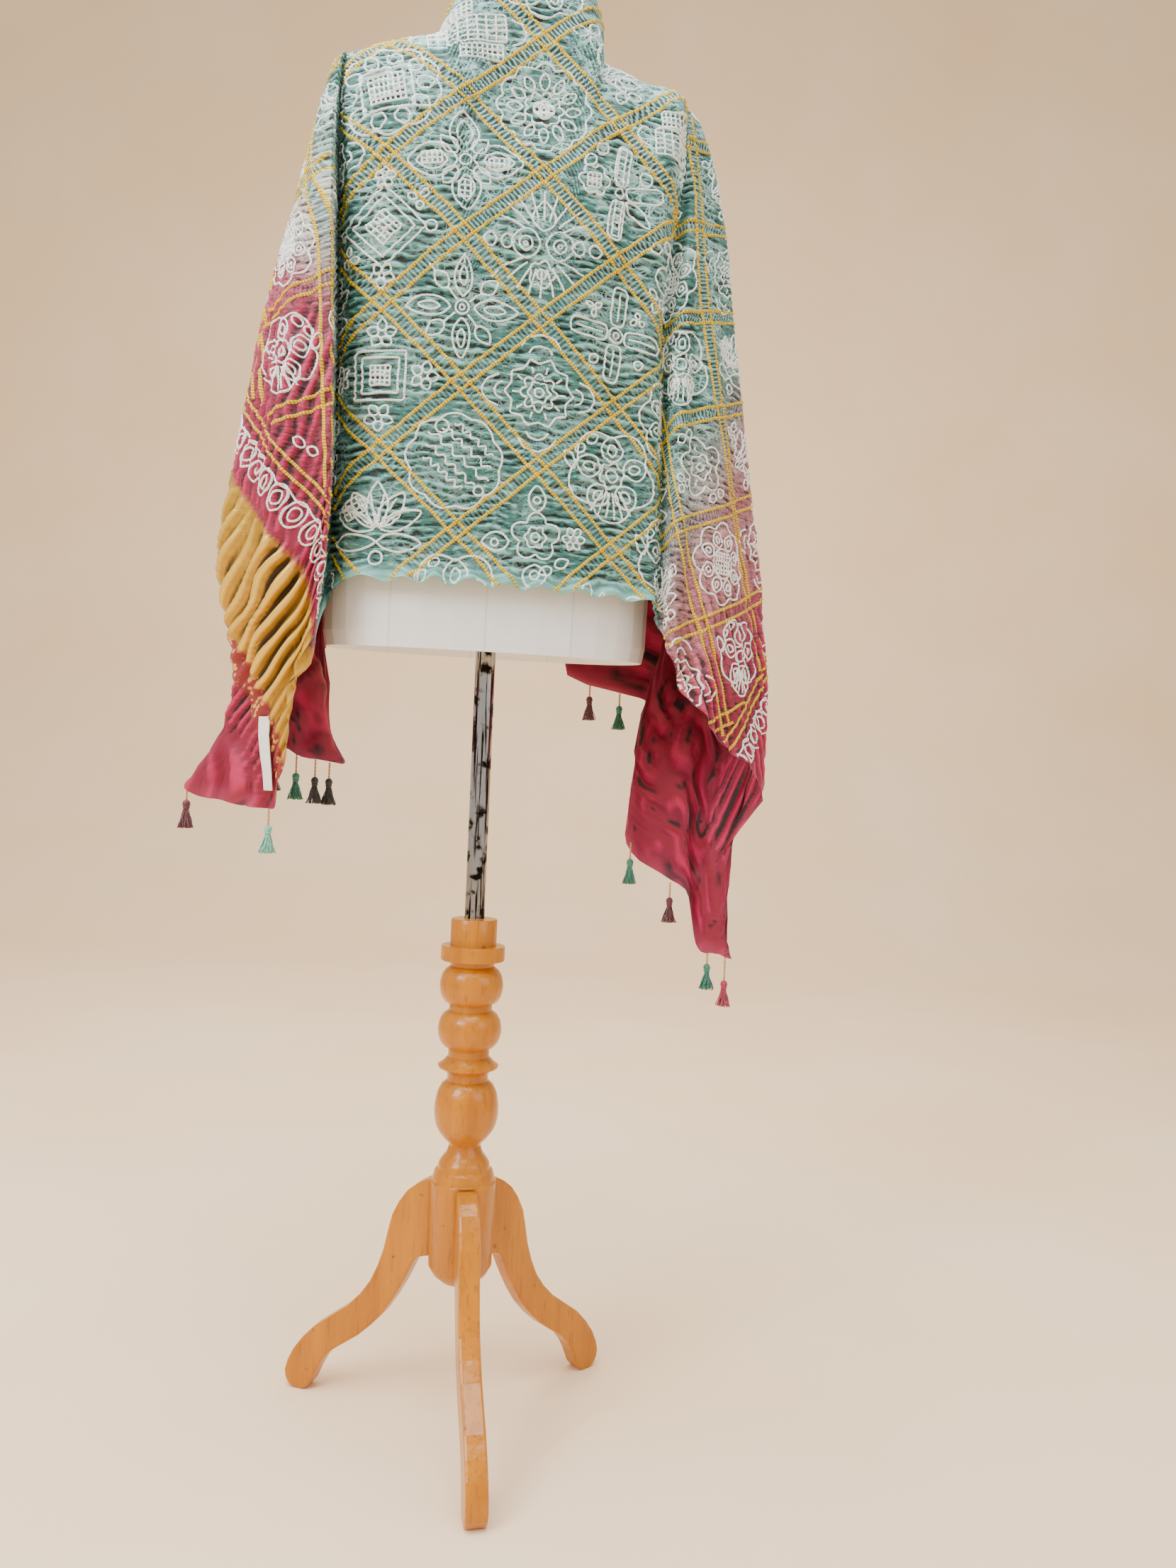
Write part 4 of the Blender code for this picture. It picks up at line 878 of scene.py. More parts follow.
# %% Silk crepe: gloss and bumps
# the band's metal thread shines, and the rest of the crepe is matt with a faint sheen
metal = node(tree, "ShaderNodeMath", {"operation": "MULTIPLY"}, i0=seen["gold"], i1=0.45).outputs[0]
rough = node(tree, "ShaderNodeMapRange", Value=seen["gold"], To_Min=0.70, To_Max=0.34).outputs[0]
tree.links.new(metal, shader.inputs["Metallic"])
tree.links.new(rough, shader.inputs["Roughness"])
shader.inputs["Sheen Weight"].default_value = 0.12
shader.inputs["Sheen Roughness"].default_value = 0.4
crisp = node(tree, "ShaderNodeMapRange", Value=seen["dyed"], To_Min=1.0, To_Max=0.45).outputs[0]
crisp = node(tree, "ShaderNodeMath", {"operation": "MULTIPLY"}, i0=streaks, i1=crisp).outputs[0]
bumps = node(tree, "ShaderNodeMath", {"operation": "MULTIPLY_ADD"}, i0=net, i1=0.55,
             i2=crisp).outputs[0]
bumps = node(tree, "ShaderNodeMath", {"operation": "MULTIPLY_ADD"}, i0=speckle, i1=0.25,
             i2=bumps).outputs[0]
bump = node(tree, "ShaderNodeBump", Strength=0.9, Distance=0.0016, Height=bumps)
tree.links.new(bump.outputs["Normal"], shader.inputs["Normal"])
cloth_mesh.materials.append(silk)
print("silk nodes:", len(tree.nodes))

# %% [markdown]
# ## Knotted lines
# The motifs of a bandhani cloth are rows of tied knots.  They stay white where the thread held
# the dye off, or are dyed yellow first, and they stand up from the cloth like beads.  Each
# motif is drawn flat, in mm, from a few simple outlines, and then laid on the sheet: every point
# finds the triangle of the flat cloth that it lies on and takes that place on the draped one.


# %% Outlines, in mm
def turn_by(angle, x, y, along, side):
    """Points given along and beside a direction, from (x, y)."""
    c, s = math.cos(math.radians(angle)), math.sin(math.radians(angle))
    along, side = np.asarray(along, float), np.asarray(side, float)
    return np.column_stack([x + along * c - side * s, y + along * s + side * c])


def ring(x, y, r, squash=1.0):
    t = np.linspace(0, 2 * math.pi, 25)
    return [turn_by(0, x, y, r * np.cos(t), squash * r * np.sin(t))]


def lobes(x, y, r, n, depth, turn=0):
    """A closed outline of n round lobes."""
    t = np.linspace(0, 2 * math.pi, 12 * n + 1)
    reach = r * (1 - depth * (1 - np.abs(np.cos(n * t / 2))))
    return [turn_by(turn, x, y, reach * np.cos(t), reach * np.sin(t))]


def star(x, y, r, n, depth, turn=0):
    """A closed outline of n points."""
    t = np.linspace(0, 2 * math.pi, 2 * n + 1)
    reach = np.where(np.arange(2 * n + 1) % 2, r * (1 - depth), r)
    return [turn_by(turn, x, y, reach * np.cos(t), reach * np.sin(t))]


def leaves(x, y, n, turn, start, end, half):
    """n pointed leaves round a centre."""
    t = np.linspace(0, 1, 13)
    along = start + (end - start) * t
    side = half * np.sin(math.pi * t ** 0.85) ** 0.8
    both = (np.concatenate([along, along[::-1]]), np.concatenate([side, -side[::-1]]))
    return [turn_by(turn + 360 * k / n, x, y, *both) for k in range(n)]


def arms(x, y, n, turn, start, end, half):
    """n straight arms with round ends."""
    t = np.linspace(0, 2 * math.pi, 29)
    along = (start + end) / 2 + (end - start) / 2 * np.sign(np.cos(t)) * np.abs(np.cos(t)) ** 0.45
    side = half * np.sign(np.sin(t)) * np.abs(np.sin(t)) ** 0.45
    return [turn_by(turn + 360 * k / n, x, y, along, side) for k in range(n)]


def rays(x, y, start, end, first, last, n):
    """n short lines that point away from a centre."""
    angles = np.linspace(first, last, n, endpoint=last - first < 300)
    return [turn_by(a, x, y, (start, end), (0, 0)) for a in angles]


def vee(x, y, angle, length, half):
    """An arrowhead with its tip at (x, y)."""
    back, bend = -length, -length * 0.3
    return [turn_by(angle, x, y, (back, bend, 0, bend, back), (half, half * 0.7, 0, -half * 0.7, -half))]


def check(x, y, half_x, half_y, rows, columns, turn=0):
    """A block of crossed lines with an edge."""
    lines = [turn_by(turn, x, y, (-half_x, half_x, half_x, -half_x, -half_x),
                     (-half_y, -half_y, half_y, half_y, -half_y))]
    for a in np.linspace(-1, 1, rows + 1)[1:-1]:
        lines.append(turn_by(turn, x, y, (-half_x, half_x), (a * half_y, a * half_y)))
    for a in np.linspace(-1, 1, columns + 1)[1:-1]:
        lines.append(turn_by(turn, x, y, (a * half_x, a * half_x), (-half_y, half_y)))
    return lines


def waves(x, y, angle, length, n, gap, tall):
    """n wavy lines beside each other."""
    t = np.linspace(-0.5, 0.5, 41)
    return [turn_by(angle, x, y, length * t * (1 - 0.18 * abs(k - (n - 1) / 2)),
                    (k - (n - 1) / 2) * gap + tall * np.sin(length * t / 2.6)) for k in range(n)]


OUTLINES = {"ring": ring, "lobes": lobes, "star": star, "leaves": leaves, "arms": arms,
            "rays": rays, "vee": vee, "check": check, "waves": waves}
print("outlines:", ", ".join(OUTLINES))

# %% The motifs
MOTIFS = {
    "eight leaves": (("ring", 0, 0, 7), ("ring", 0, 0, 3), ("leaves", 0, 0, 2, 0, 12, 58, 10),
                     ("leaves", 0, 0, 2, 0, 22, 46, 4), ("leaves", 0, 0, 2, 90, 11, 52, 9),
                     ("leaves", 0, 0, 2, 90, 22, 42, 4), ("leaves", 0, 0, 4, 40, 24, 46, 7),
                     ("rays", 0, 0, 9, 26, 40, 400, 4), ("rays", 0, 0, 44, 54, 50, 130, 3)),
    "cross": (("ring", 0, 0, 8), ("ring", 0, 0, 3.5), ("arms", 0, 0, 4, -5, 10, 50, 8.5),
              ("rays", 0, 0, 15, 44, -5, 355, 4), ("ring", -24, -28, 5), ("ring", 26, -27, 5),
              ("leaves", 24, 20, 3, 90, 1, 9, 3), ("leaves", -26, 24, 3, 30, 1, 10, 3)),
    "rosette": (("star", 0, 0, 36, 10, 0.17), ("lobes", 0, 0, 20, 8, 0.35), ("star", 0, 0, 13, 6, 0.3),
                ("ring", 0, 0, 5), ("rays", 0, 0, 21, 28, 0, 360, 10), ("vee", 60, 0, 0, 18, 16),
                ("vee", -60, 0, 180, 18, 16), ("vee", 47, 0, 0, 9, 9), ("vee", -47, 0, 180, 9, 9),
                ("vee", 0, 60, 90, 14, 20), ("vee", 0, -60, 270, 14, 20), ("vee", 0, 48, 90, 8, 12),
                ("vee", 0, -48, 270, 8, 12)),
    "wavy leaf": (("waves", 0, 0, -40, 78, 5, 12, 3.5), ("lobes", -4, -6, 50, 9, 0.10, 12),
                  ("ring", -18, 30, 7), ("ring", 22, -34, 5)),
    "open flower": (("ring", 0, 4, 7), ("lobes", 0, 4, 15, 6, 0.3, 15),
                    ("leaves", 0, 4, 5, 20, 14, 42, 12),
                    ("leaves", 0, 4, 5, 20, 20, 34, 5), ("rays", 0, 4, 18, 46, 240, 300, 6),
                    ("leaves", -30, 34, 2, 40, 2, 16, 5), ("leaves", -42, 6, 1, 120, 0, 22, 5),
                    ("lobes", 0, 4, 50, 5, 0.22, 56)),
    "lotus": (("leaves", 0, -8, 1, 90, 4, 50, 11), ("leaves", 0, -8, 1, 56, 4, 48, 10),
              ("leaves", 0, -8, 1, 124, 4, 48, 10), ("leaves", 0, -8, 1, 24, 4, 50, 9),
              ("leaves", 0, -8, 1, 156, 4, 50, 9), ("rays", 0, -8, 10, 38, 40, 140, 6),
              ("leaves", -46, -20, 1, 0, 0, 46, 9), ("leaves", 0, -20, 1, 0, 0, 46, 9),
              ("ring", 0, -36, 7), ("check", -24, 16, 12, 9, 3, 4, 30)),
    "floret rosette": (("ring", 0, 2, 5), ("lobes", 0, 2, 12, 6, 0.3), ("lobes", 0, 2, 26, 5, 0.35, 18),
                       ("leaves", 0, 26, 1, 90, 2, 30, 9), ("ring", 0, 40, 4),
                       ("leaves", 0, -24, 1, 270, 2, 28, 12), ("ring", 0, -38, 5),
                       ("leaves", -26, -4, 1, 185, 2, 30, 10), ("ring", -42, -6, 4),
                       ("leaves", 40, 4, 6, 0, 3, 13, 4), ("leaves", 20, -28, 2, 30, 2, 18, 5)),
    "square medallion": (("check", 0, 0, 25, 25, 1, 1), ("check", 0, 0, 18, 18, 1, 1),
                         ("check", 0, 0, 10, 10, 4, 4),
                         ("leaves", 0, 42, 5, 90, 3, 15, 5), ("leaves", 0, -42, 5, 270, 3, 15, 5),
                         ("leaves", 44, 0, 5, 0, 3, 15, 5), ("leaves", -44, 0, 5, 180, 3, 15, 5)),
    "check block": (("check", 0, 0, 40, 15, 5, 8, 4), ("check", -14, 26, 18, 9, 3, 7, 4),
                    ("check", 16, -26, 22, 8, 3, 8, 4), ("vee", 62, 0, 4, 16, 14),
                    ("vee", -60, 0, 184, 14, 12)),
    "round medallion": (("ring", 0, 0, 5), ("ring", 0, 0, 11), ("lobes", 0, 0, 21, 9, 0.25),
                        ("leaves", 0, 0, 12, 0, 22, 40, 5), ("lobes", 0, 0, 50, 12, 0.12),
                        ("check", 0, 0, 8, 8, 3, 3, 45)),
    "check medallion": (("check", 0, 0, 18, 18, 5, 7, 8), ("check", 0, 0, 26, 26, 1, 1, 8),
                        ("leaves", 0, 0, 10, 8, 30, 50, 8), ("lobes", 0, 0, 56, 10, 0.10, 26)),
    "four leaves": (("ring", 0, 0, 6), ("leaves", 0, 0, 2, 4, 8, 60, 18),
                    ("leaves", 0, 0, 2, 4, 18, 50, 10),
                    ("leaves", 0, 0, 2, 94, 8, 54, 15), ("leaves", 0, 0, 2, 94, 16, 44, 8),
                    ("leaves", 0, 0, 4, 49, 12, 34, 7), ("check", 34, 0, 10, 6, 2, 4, 4),
                    ("check", -34, 0, 10, 6, 2, 4, 4), ("check", 0, -30, 6, 9, 3, 2, 4)),
    "butterfly": (("leaves", 0, 0, 2, 0, 3, 34, 15), ("ring", 18, 0, 7), ("ring", -18, 0, 7),
                  ("ring", 18, 0, 2.5), ("ring", -18, 0, 2.5), ("leaves", 0, 12, 1, 90, 2, 34, 12),
                  ("rays", 0, 6, 20, 50, 25, 155, 9), ("rays", 0, -6, 20, 48, 205, 335, 9),
                  ("leaves", 46, 0, 2, 0, 2, 16, 7), ("leaves", -46, 0, 2, 0, 2, 16, 7),
                  ("lobes", 0, -30, 14, 5, 0.3), ("ring", 0, -30, 5)),
    "looped cross": (("ring", 0, -2, 5), ("arms", 0, -2, 2, 84, 8, 52, 8),
                     ("arms", 0, -2, 1, 8, 8, 50, 8),
                     ("check", 1, 26, 4, 20, 5, 1, -6), ("check", -2, -30, 4, 20, 5, 1, -6),
                     ("lobes", -28, 6, 17, 6, 0.3), ("check", -28, 6, 7, 7, 3, 3), ("ring", 30, 20, 7),
                     ("leaves", -26, 34, 2, 50, 2, 18, 6), ("leaves", 0, -2, 1, 320, 10, 46, 7)),
    "floret diamond": (("check", 0, 0, 30, 30, 1, 1, 45), ("check", 0, 0, 22, 22, 1, 1, 45),
                       ("check", 0, 0, 13, 13, 3, 5, 45), ("leaves", 0, 50, 5, 90, 2, 12, 4),
                       ("leaves", 0, -50, 5, 270, 2, 13, 5), ("ring", 48, 0, 6), ("ring", -48, 0, 6),
                       ("leaves", 34, 28, 3, 40, 2, 13, 4), ("leaves", -34, -28, 3, 220, 2, 13, 4)),
    "spray": (("leaves", -20, -20, 1, 45, 0, 60, 9), ("leaves", -20, -20, 1, 15, 6, 54, 9),
              ("leaves", -20, -20, 1, 78, 6, 54, 9), ("ring", 24, 24, 8), ("ring", 24, 24, 3),
              ("rays", -20, -20, 20, 58, 30, 62, 3), ("leaves", 10, -30, 3, 0, 2, 20, 6),
              ("leaves", -32, 22, 3, 60, 2, 20, 6)),
    "check flower": (("ring", 0, 0, 19), ("check", 0, 0, 13, 13, 5, 5), ("leaves", 0, 0, 8, 20, 20, 42, 9),
                     ("leaves", 0, 0, 8, 20, 26, 36, 4), ("lobes", 0, 0, 52, 8, 0.16, 42)),
    "round flower": (("ring", 0, 0, 5), ("lobes", 0, 0, 17, 5, 0.35), ("lobes", 0, 0, 38, 5, 0.38, 36),
                     ("rays", 0, 0, 18, 26, 36, 396, 5), ("leaves", 30, -32, 2, 30, 2, 17, 6),
                     ("leaves", -30, 32, 2, 30, 2, 17, 6), ("leaves", -34, -26, 3, 10, 2, 14, 5)),
}
CHEST_CELLS = {
    (0, -1): "eight leaves", (1, 0): "cross", (0, 0): "rosette", (-1, 0): "wavy leaf",
    (0, 1): "open flower", (-2, 0): "lotus", (-1, 1): "floret rosette", (-1, -1): "square medallion",
    (2, -3): "check block", (2, -2): "round medallion", (1, -3): "check medallion",
    (1, -2): "four leaves", (1, -1): "butterfly", (2, -1): "looped cross", (0, -2): "floret diamond",
    (3, -2): "spray", (3, -3): "check flower", (3, -1): "check block", (-2, 1): "open flower",
}
CYCLE = ("round flower", "spray", "check flower", "rosette", "open flower", "lotus")
print("motifs:", len(MOTIFS))


# %% Laying flat lines on the sheet
def even(line, step):
    """The line again, with points about step apart."""
    line = np.asarray(line, float)
    run = np.concatenate([[0], np.cumsum(np.hypot(*np.diff(line, axis=0).T))])
    at = np.linspace(0, run[-1], max(2, int(round(run[-1] / step)) + 1))
    return np.column_stack([np.interp(at, run, line[:, 0]), np.interp(at, run, line[:, 1])])


# two triangles to a quad, one to a triangle
corners = np.array([t for f in faces
                    for t in ((f[0], f[1], f[2]), (f[0], f[2], f[-1]))[:len(f) - 2]])
# the knots stand along the crinkled sheet's own normals
cloth_normal = np.zeros(len(points) * 3)
cloth_mesh.vertex_normals.foreach_get("vector", cloth_normal)
cloth_normal = cloth_normal.reshape(-1, 3)
# the chest's own flat place is its x and z, and the valleys beside it go on from there
regions = {0: (part_of == 0) | ~is_fall & (place_of < 0.5),
           1: on_left & (place_of > VALLEY[1] + 0.045) & (place_of < PANEL_END),
           2: on_right & (place_of > VALLEY[2] - 0.02) & (place_of < PANEL_END)}
flat_spot = {}
for part, keep in regions.items():
    spot = np.column_stack([out_of, down_of]) if part else np.column_stack([flat_x, points[:, 2]])
    near = corners[keep[corners].all(axis=1)]
    search = BVHTree.FromPolygons([(a, b, 0.0) for a, b in spot], near.tolist())
    flat_spot[part] = (search, near, spot[near])
    print("region", part, "triangles", len(near))


def on_sheet(part, at):
    """Places and normals on the draped sheet for flat points (n, 2), and which were found."""
    search, ids, spots = flat_spot[part]
    hits = [search.ray_cast((a, b, 1.0), (0, 0, -1))[2] for a, b in at]
    found = np.array([h is not None for h in hits])
    k = np.array([h or 0 for h in hits])
    a, e1, e2 = spots[k, 0], spots[k, 1] - spots[k, 0], spots[k, 2] - spots[k, 0]
    d = at - a
    area2 = e1[:, 0] * e2[:, 1] - e1[:, 1] * e2[:, 0]
    u = (d[:, 0] * e2[:, 1] - d[:, 1] * e2[:, 0]) / area2
    v = (e1[:, 0] * d[:, 1] - e1[:, 1] * d[:, 0]) / area2
    share = np.stack([1 - u - v, u, v], 1)[:, :, None]
    return (place_3d[ids[k]] * share).sum(1), (cloth_normal[ids[k]] * share).sum(1), found


LIFT = 0.00015            # m from the sheet to a ribbon's edges


def knotted_lines(name, lines, wide, tall, finish, step=0.0023):
    """A piece of ribbons with a raised, beaded middle that lie on the sheet."""
    ribbons = []
    for part in flat_spot:
        for line in (even(l, step) for p, l in lines if p == part):
            way = np.gradient(line, axis=0)
            way /= np.hypot(*way.T)[:, None] + 1e-9
            side = np.column_stack([-way[:, 1], way[:, 0]]) * wide / 2
            near, normal, ok = on_sheet(part, np.vstack([line - side, line, line + side]))
            n = len(line)
            ok = ok[:n] & ok[n:2 * n] & ok[2 * n:]
            cut = np.flatnonzero(np.diff(np.concatenate([[0], ok.astype(int), [0]])))
            for a, b in zip(cut[::2], cut[1::2]):
                if b - a > 2:
                    ribbons.append((near[a:b], near[n + a:n + b], near[2 * n + a:2 * n + b],
                                    normal[n + a:n + b]))
    verts, strips, along = [], [], []
    for left, middle, right, normal in ribbons:
        if np.linalg.norm(np.diff(middle, axis=0), axis=1).max() > 6 * step:
            continue
        n = len(middle)
        bead = tall * (0.80 + 0.32 * (np.arange(n) % 2))
        bead[[0, -1]] = 0.3 * tall
        first = len(verts)
        rise = normal * LIFT
        rows = np.stack([left + rise, middle + normal * bead[:, None], right + rise], 1)
        verts += rows.reshape(-1, 3).tolist()
        along += np.repeat(np.arange(n) * step, 3).tolist()
        for k in range(n - 1):
            a = first + 3 * k
            strips += [(a, a + 1, a + 4, a + 3), (a + 1, a + 2, a + 5, a + 4)]
    made = mesh_object(name, verts, strips, finish)
    float_attribute(made.data, "run", along)
    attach(made, BODY)
    print(name, "ribbons", len(ribbons), "triangles", 2 * len(strips))
    return made


# %% Finish of the knotted lines
# tied silk: matt; along each line the colour is painted lighter on each knot as highlight and darker
# between the knots as painted shade
KNOT_DYES_LIT_AND_SHADED = {"undyed knots": ("FFFFFF", "DCE6E4"), "yellow knots": ("F6D200", "A88400")}
KNOT = 0.003              # m from knot to knot: as fine as the render can show
knots = {}
for name, (top, between) in KNOT_DYES_LIT_AND_SHADED.items():
    knots[name], tree, shader = new_material(name)
    run = node(tree, "ShaderNodeAttribute", {"attribute_name": "run"}).outputs["Fac"]
    turn = node(tree, "ShaderNodeMath", {"operation": "MULTIPLY"}, i0=run, i1=2 * math.pi / KNOT)
    wave = node(tree, "ShaderNodeMath", {"operation": "SINE"}, i0=turn.outputs[0]).outputs[0]
    lit = node(tree, "ShaderNodeMapRange", Value=wave, From_Min=-1.0).outputs[0]
    tint = node(tree, "ShaderNodeMix", {"data_type": "RGBA"}, Factor=lit, i6=linear(between),
                i7=linear(top)).outputs[2]
    place = node(tree, "ShaderNodeTexCoord").outputs["Object"]
    patchy = node(tree, "ShaderNodeTexNoise", Vector=place, Scale=70.0, Detail=2.0).outputs["Fac"]
    tint = node(tree, "ShaderNodeMix", {"data_type": "RGBA", "blend_type": "MULTIPLY"}, Factor=patchy,
                i6=tint, i7=linear("F5F1E8")).outputs[2]
    tree.links.new(tint, shader.inputs["Base Color"])
    shader.inputs["Roughness"].default_value = 0.7
    bump = node(tree, "ShaderNodeBump", Strength=0.7, Distance=0.0006, Height=lit)
    tree.links.new(bump.outputs["Normal"], shader.inputs["Normal"])
print("knot finishes:", ", ".join(knots))

# %% The trellis
PAIR, BORDER_PAIR = 0.0130, 0.0115   # m between the two lines of a pair
YELLOW_WIDE, YELLOW_TALL = 0.0033, 0.0018


def wobble(line, seed, far=0.0010):
    """The line as a hand ties it: up to about 1 mm off."""
    line = even(line, 0.004)
    off = [(noise.noise((a * 50, b * 50, seed)), noise.noise((a * 50, b * 50, seed + 7)))
           for a, b in line]
    return line + far * np.array(off)


def pair_of(line, gap=PAIR):
    line = np.asarray(line, float)
    way = np.gradient(line, axis=0)
    way /= np.hypot(*way.T)[:, None]
    side = np.column_stack([-way[:, 1], way[:, 0]]) * gap / 2
    return line + side, line - side


def bias_line(length, first, last):
    """Flat line on a fall at one length of the cloth."""
    c, s = math.cos(BIAS), math.sin(BIAS)
    q = np.linspace(first, last, 60)
    return np.column_stack([c * length + s * q, s * length - c * q])


yellow = []
span = np.linspace(-6, 5, 90)
for k in range(-6, 7):
    for a, b in ((span, 0 * span + k), (0 * span + k, span)):
        for side in pair_of(CHEST_ORIGIN + np.column_stack([a, b]) @ CHEST_STEPS):
            yellow.append((0, wobble(side, k + 2.0)))
for part, (out0, down0, step_out, step_down, lean, slope) in FALL_TRELLIS.items():
    end = BORDER[part] - 0.008
    for k in range(0, 7):
        d = np.linspace(0.02, 0.90, 90)
        o = np.linspace(-0.02, 0.55, 60)
        for line in (np.column_stack([lean * d + out0 + k * step_out, d]),
                     np.column_stack([o, down0 + (k - 1) * step_down + slope * o])):
            for side in pair_of(line):
                keep = math.cos(BIAS) * side[:, 0] + math.sin(BIAS) * side[:, 1] < end
                if keep.sum() > 3:
                    yellow.append((part, wobble(side[keep], k + 20.0 * part)))
    for side in pair_of(bias_line(BORDER[part], -0.62, 0.62), BORDER_PAIR):
        yellow.append((part, wobble(side, 5.0 + part)))
trellis_lines = knotted_lines("yellow_trellis", yellow, YELLOW_WIDE, YELLOW_TALL,
                              knots["yellow knots"])

# %% The motifs on their cells
WHITE_WIDE, WHITE_TALL = 0.0022, 0.0015
white = []


def add_motif(part, name, middle, right, up, seed):
    """Adds a motif's lines at a flat place; right and up are flat vectors of one mm."""
    for shape, *numbers in MOTIFS[name]:
        for line in OUTLINES[shape](*numbers):
            at = middle + line[:, :1] * right + line[:, 1:] * up
            if part:
                length = math.cos(BIAS) * at[:, 0] + math.sin(BIAS) * at[:, 1]
                at = at[length < BORDER[part] - 0.010]
            if len(at) > 0.4 * len(line):
                white.append((part, wobble(at, seed, 0.0012)))


for k in range(-5, 5):
    for m in range(-5, 4):
        middle = CHEST_ORIGIN + (k + 0.5) * CHEST_STEPS[0] + (m + 0.5) * CHEST_STEPS[1]
        if -0.28 < middle[0] < 0.30 and 0.84 < middle[1] < 1.68:
            name = CHEST_CELLS.get((k, m), CYCLE[(3 * k + 5 * m) % len(CYCLE)])
            add_motif(0, name, middle, np.array((0.001, 0.0)), np.array((0.0, 0.001)), k + 0.1 * m)
for part, (out0, down0, step_out, step_down, lean, slope) in FALL_TRELLIS.items():
    for k in range(-1, 6):
        for m in range(-2, 6):
            level, upright = down0 + (m + 0.5) * step_down, out0 + (k + 0.5) * step_out
            o = (upright + lean * level) / (1 - lean * slope)
            # a motif with its middle past the border is left off
            if math.cos(BIAS) * (o + level + slope * o) > BORDER[part] + 0.015:
                continue
            name = CYCLE[(k + 2 * m + part) % len(CYCLE)]
            add_motif(part, name, np.array((o, level + slope * o)), np.array((0.00078, 0.0)),
                      np.array((0.0, -0.00088)), k + 0.1 * m)
print("motif lines:", len(white))

# %% The row of flowers past the border
FLOWERS = 0.024           # m from flower to flower
for part in (1, 2):
    c, s = math.cos(BIAS), math.sin(BIAS)
    for q in np.arange(-0.50, 0.50, FLOWERS):
        for radius in (0.0115, 0.0060):
            t = np.linspace(0, 2 * math.pi, 21)
            p = BORDER[part] + 0.031 + 1.35 * radius * np.cos(t)
            r = q + 0.85 * radius * np.sin(t)
            white.append((part, np.column_stack([c * p + s * r, s * p - c * r])))
    stem = np.linspace(-0.50, 0.50, 400)
    p = BORDER[part] + 0.016 + 0.0035 * np.abs(np.sin(math.pi * stem / FLOWERS))
    white.append((part, np.column_stack([c * p + s * stem, s * p - c * stem])))
white_lines = knotted_lines("undyed_motifs", white, WHITE_WIDE, WHITE_TALL, knots["undyed knots"])

# %% [markdown]
# ## The turned column
# The stand's column was turned on a lathe from one piece of wood, so its shape is one profile
# spun round an axis.  A point is extruded down the profile, and the spin tool makes the solid.
# Three flats are then planed on its foot, where the legs are screwed on.

# %% Profile of the column
# the pole's bore, then from the top: part, height, radius
BORE_R, BORE_FOOT = 0.0114, 0.5300
PROFILE = (
    ("top", 0.5630, 0.0253), ("top", 0.5618, 0.0260), ("top", 0.5332, 0.0260),
    ("disc", 0.5330, 0.0352),
    ("disc", 0.5322, 0.0360), ("disc", 0.5172, 0.0360), ("disc", 0.5164, 0.0352),
    ("neck", 0.5150, 0.0256), ("neck", 0.5100, 0.0244),
    ("bead 1", 0.5056, 0.0300), ("bead 1", 0.4990, 0.0338), ("bead 1", 0.4880, 0.0357),
    ("bead 1", 0.4770, 0.0338), ("bead 1", 0.4700, 0.0295), ("ring", 0.4670, 0.0240),
    ("ring", 0.4604, 0.0240),
    ("bead 2", 0.4560, 0.0300), ("bead 2", 0.4490, 0.0340), ("bead 2", 0.4380, 0.0357),
    ("bead 2", 0.4270, 0.0334), ("bead 2", 0.4200, 0.0285), ("neck", 0.4165, 0.0230),
    ("neck", 0.4085, 0.0230),
    ("flange", 0.4010, 0.0300), ("flange", 0.3985, 0.0340), ("flange", 0.3962, 0.0335),
    ("flange", 0.3915, 0.0250), ("neck", 0.3875, 0.0228), ("neck", 0.3815, 0.0232),
    ("ball", 0.3765, 0.0290), ("ball", 0.3660, 0.0338), ("ball", 0.3480, 0.0362), ("ball", 0.3320, 0.0338),
    ("ball", 0.3200, 0.0270), ("ball", 0.3120, 0.0195), ("neck", 0.3085, 0.0176),
    ("trumpet", 0.3000, 0.0205), ("trumpet", 0.2880, 0.0285), ("trumpet", 0.2825, 0.0292),
    ("cap", 0.2800, 0.0325), ("cap", 0.2740, 0.0344), ("cap", 0.2700, 0.0352),
    ("hub", 0.2683, 0.0370), ("hub", 0.1740, 0.0356), ("foot", 0.1640, 0.0300), ("foot", 0.1555, 0.0200),
)
LEG_ANGLES = (-77.5, 42.5, 162.5)
HUB_FLAT = 0.0335         # distance of each planed flat from the axis
profile = [(0.0, BORE_FOOT), (BORE_R, BORE_FOOT), (BORE_R, 0.5636)]
rows = [(r, z) for _, z, r in PROFILE]
names = [row[0] for row in PROFILE]
i = 0
while i < len(rows):
    j = i
    while j + 1 < len(rows) and names[j + 1] == names[i]:
        j += 1
    group = np.array(rows[i:j + 1])
    if names[i] in ("bead 1", "bead 2", "ball", "trumpet", "cap") and len(group) > 2:
        at = np.arange(len(group), dtype=float)
        group = hermite(at, group, np.linspace(0, at[-1], 4 * len(group)))
    profile += [tuple(p) for p in group]
    i = j + 1
profile.append((0.0, 0.1545))
print("profile points:", len(profile))

# %% Spin the column
bpy.ops.object.select_all(action="DESELECT")
bpy.ops.mesh.primitive_plane_add(size=0.01, location=(AXIS_AT[0], AXIS_AT[1], profile[0][1]))
column = bpy.context.object
column.name = column.data.name = "turned_column"
bpy.ops.object.transform_apply(location=True)
bpy.ops.object.mode_set(mode="EDIT")
bpy.ops.mesh.select_all(action="SELECT")
bpy.ops.mesh.merge(type="CENTER")
for (r0, z0), (r1, z1) in zip(profile, profile[1:]):
    bpy.ops.mesh.extrude_vertices_move(TRANSFORM_OT_translate={"value": (r1 - r0, 0.0, z1 - z0)})
bpy.ops.mesh.select_all(action="SELECT")
bpy.ops.mesh.spin(steps=72, angle=2 * math.pi, center=(AXIS_AT[0], AXIS_AT[1], 0.0), axis=(0, 0, 1))
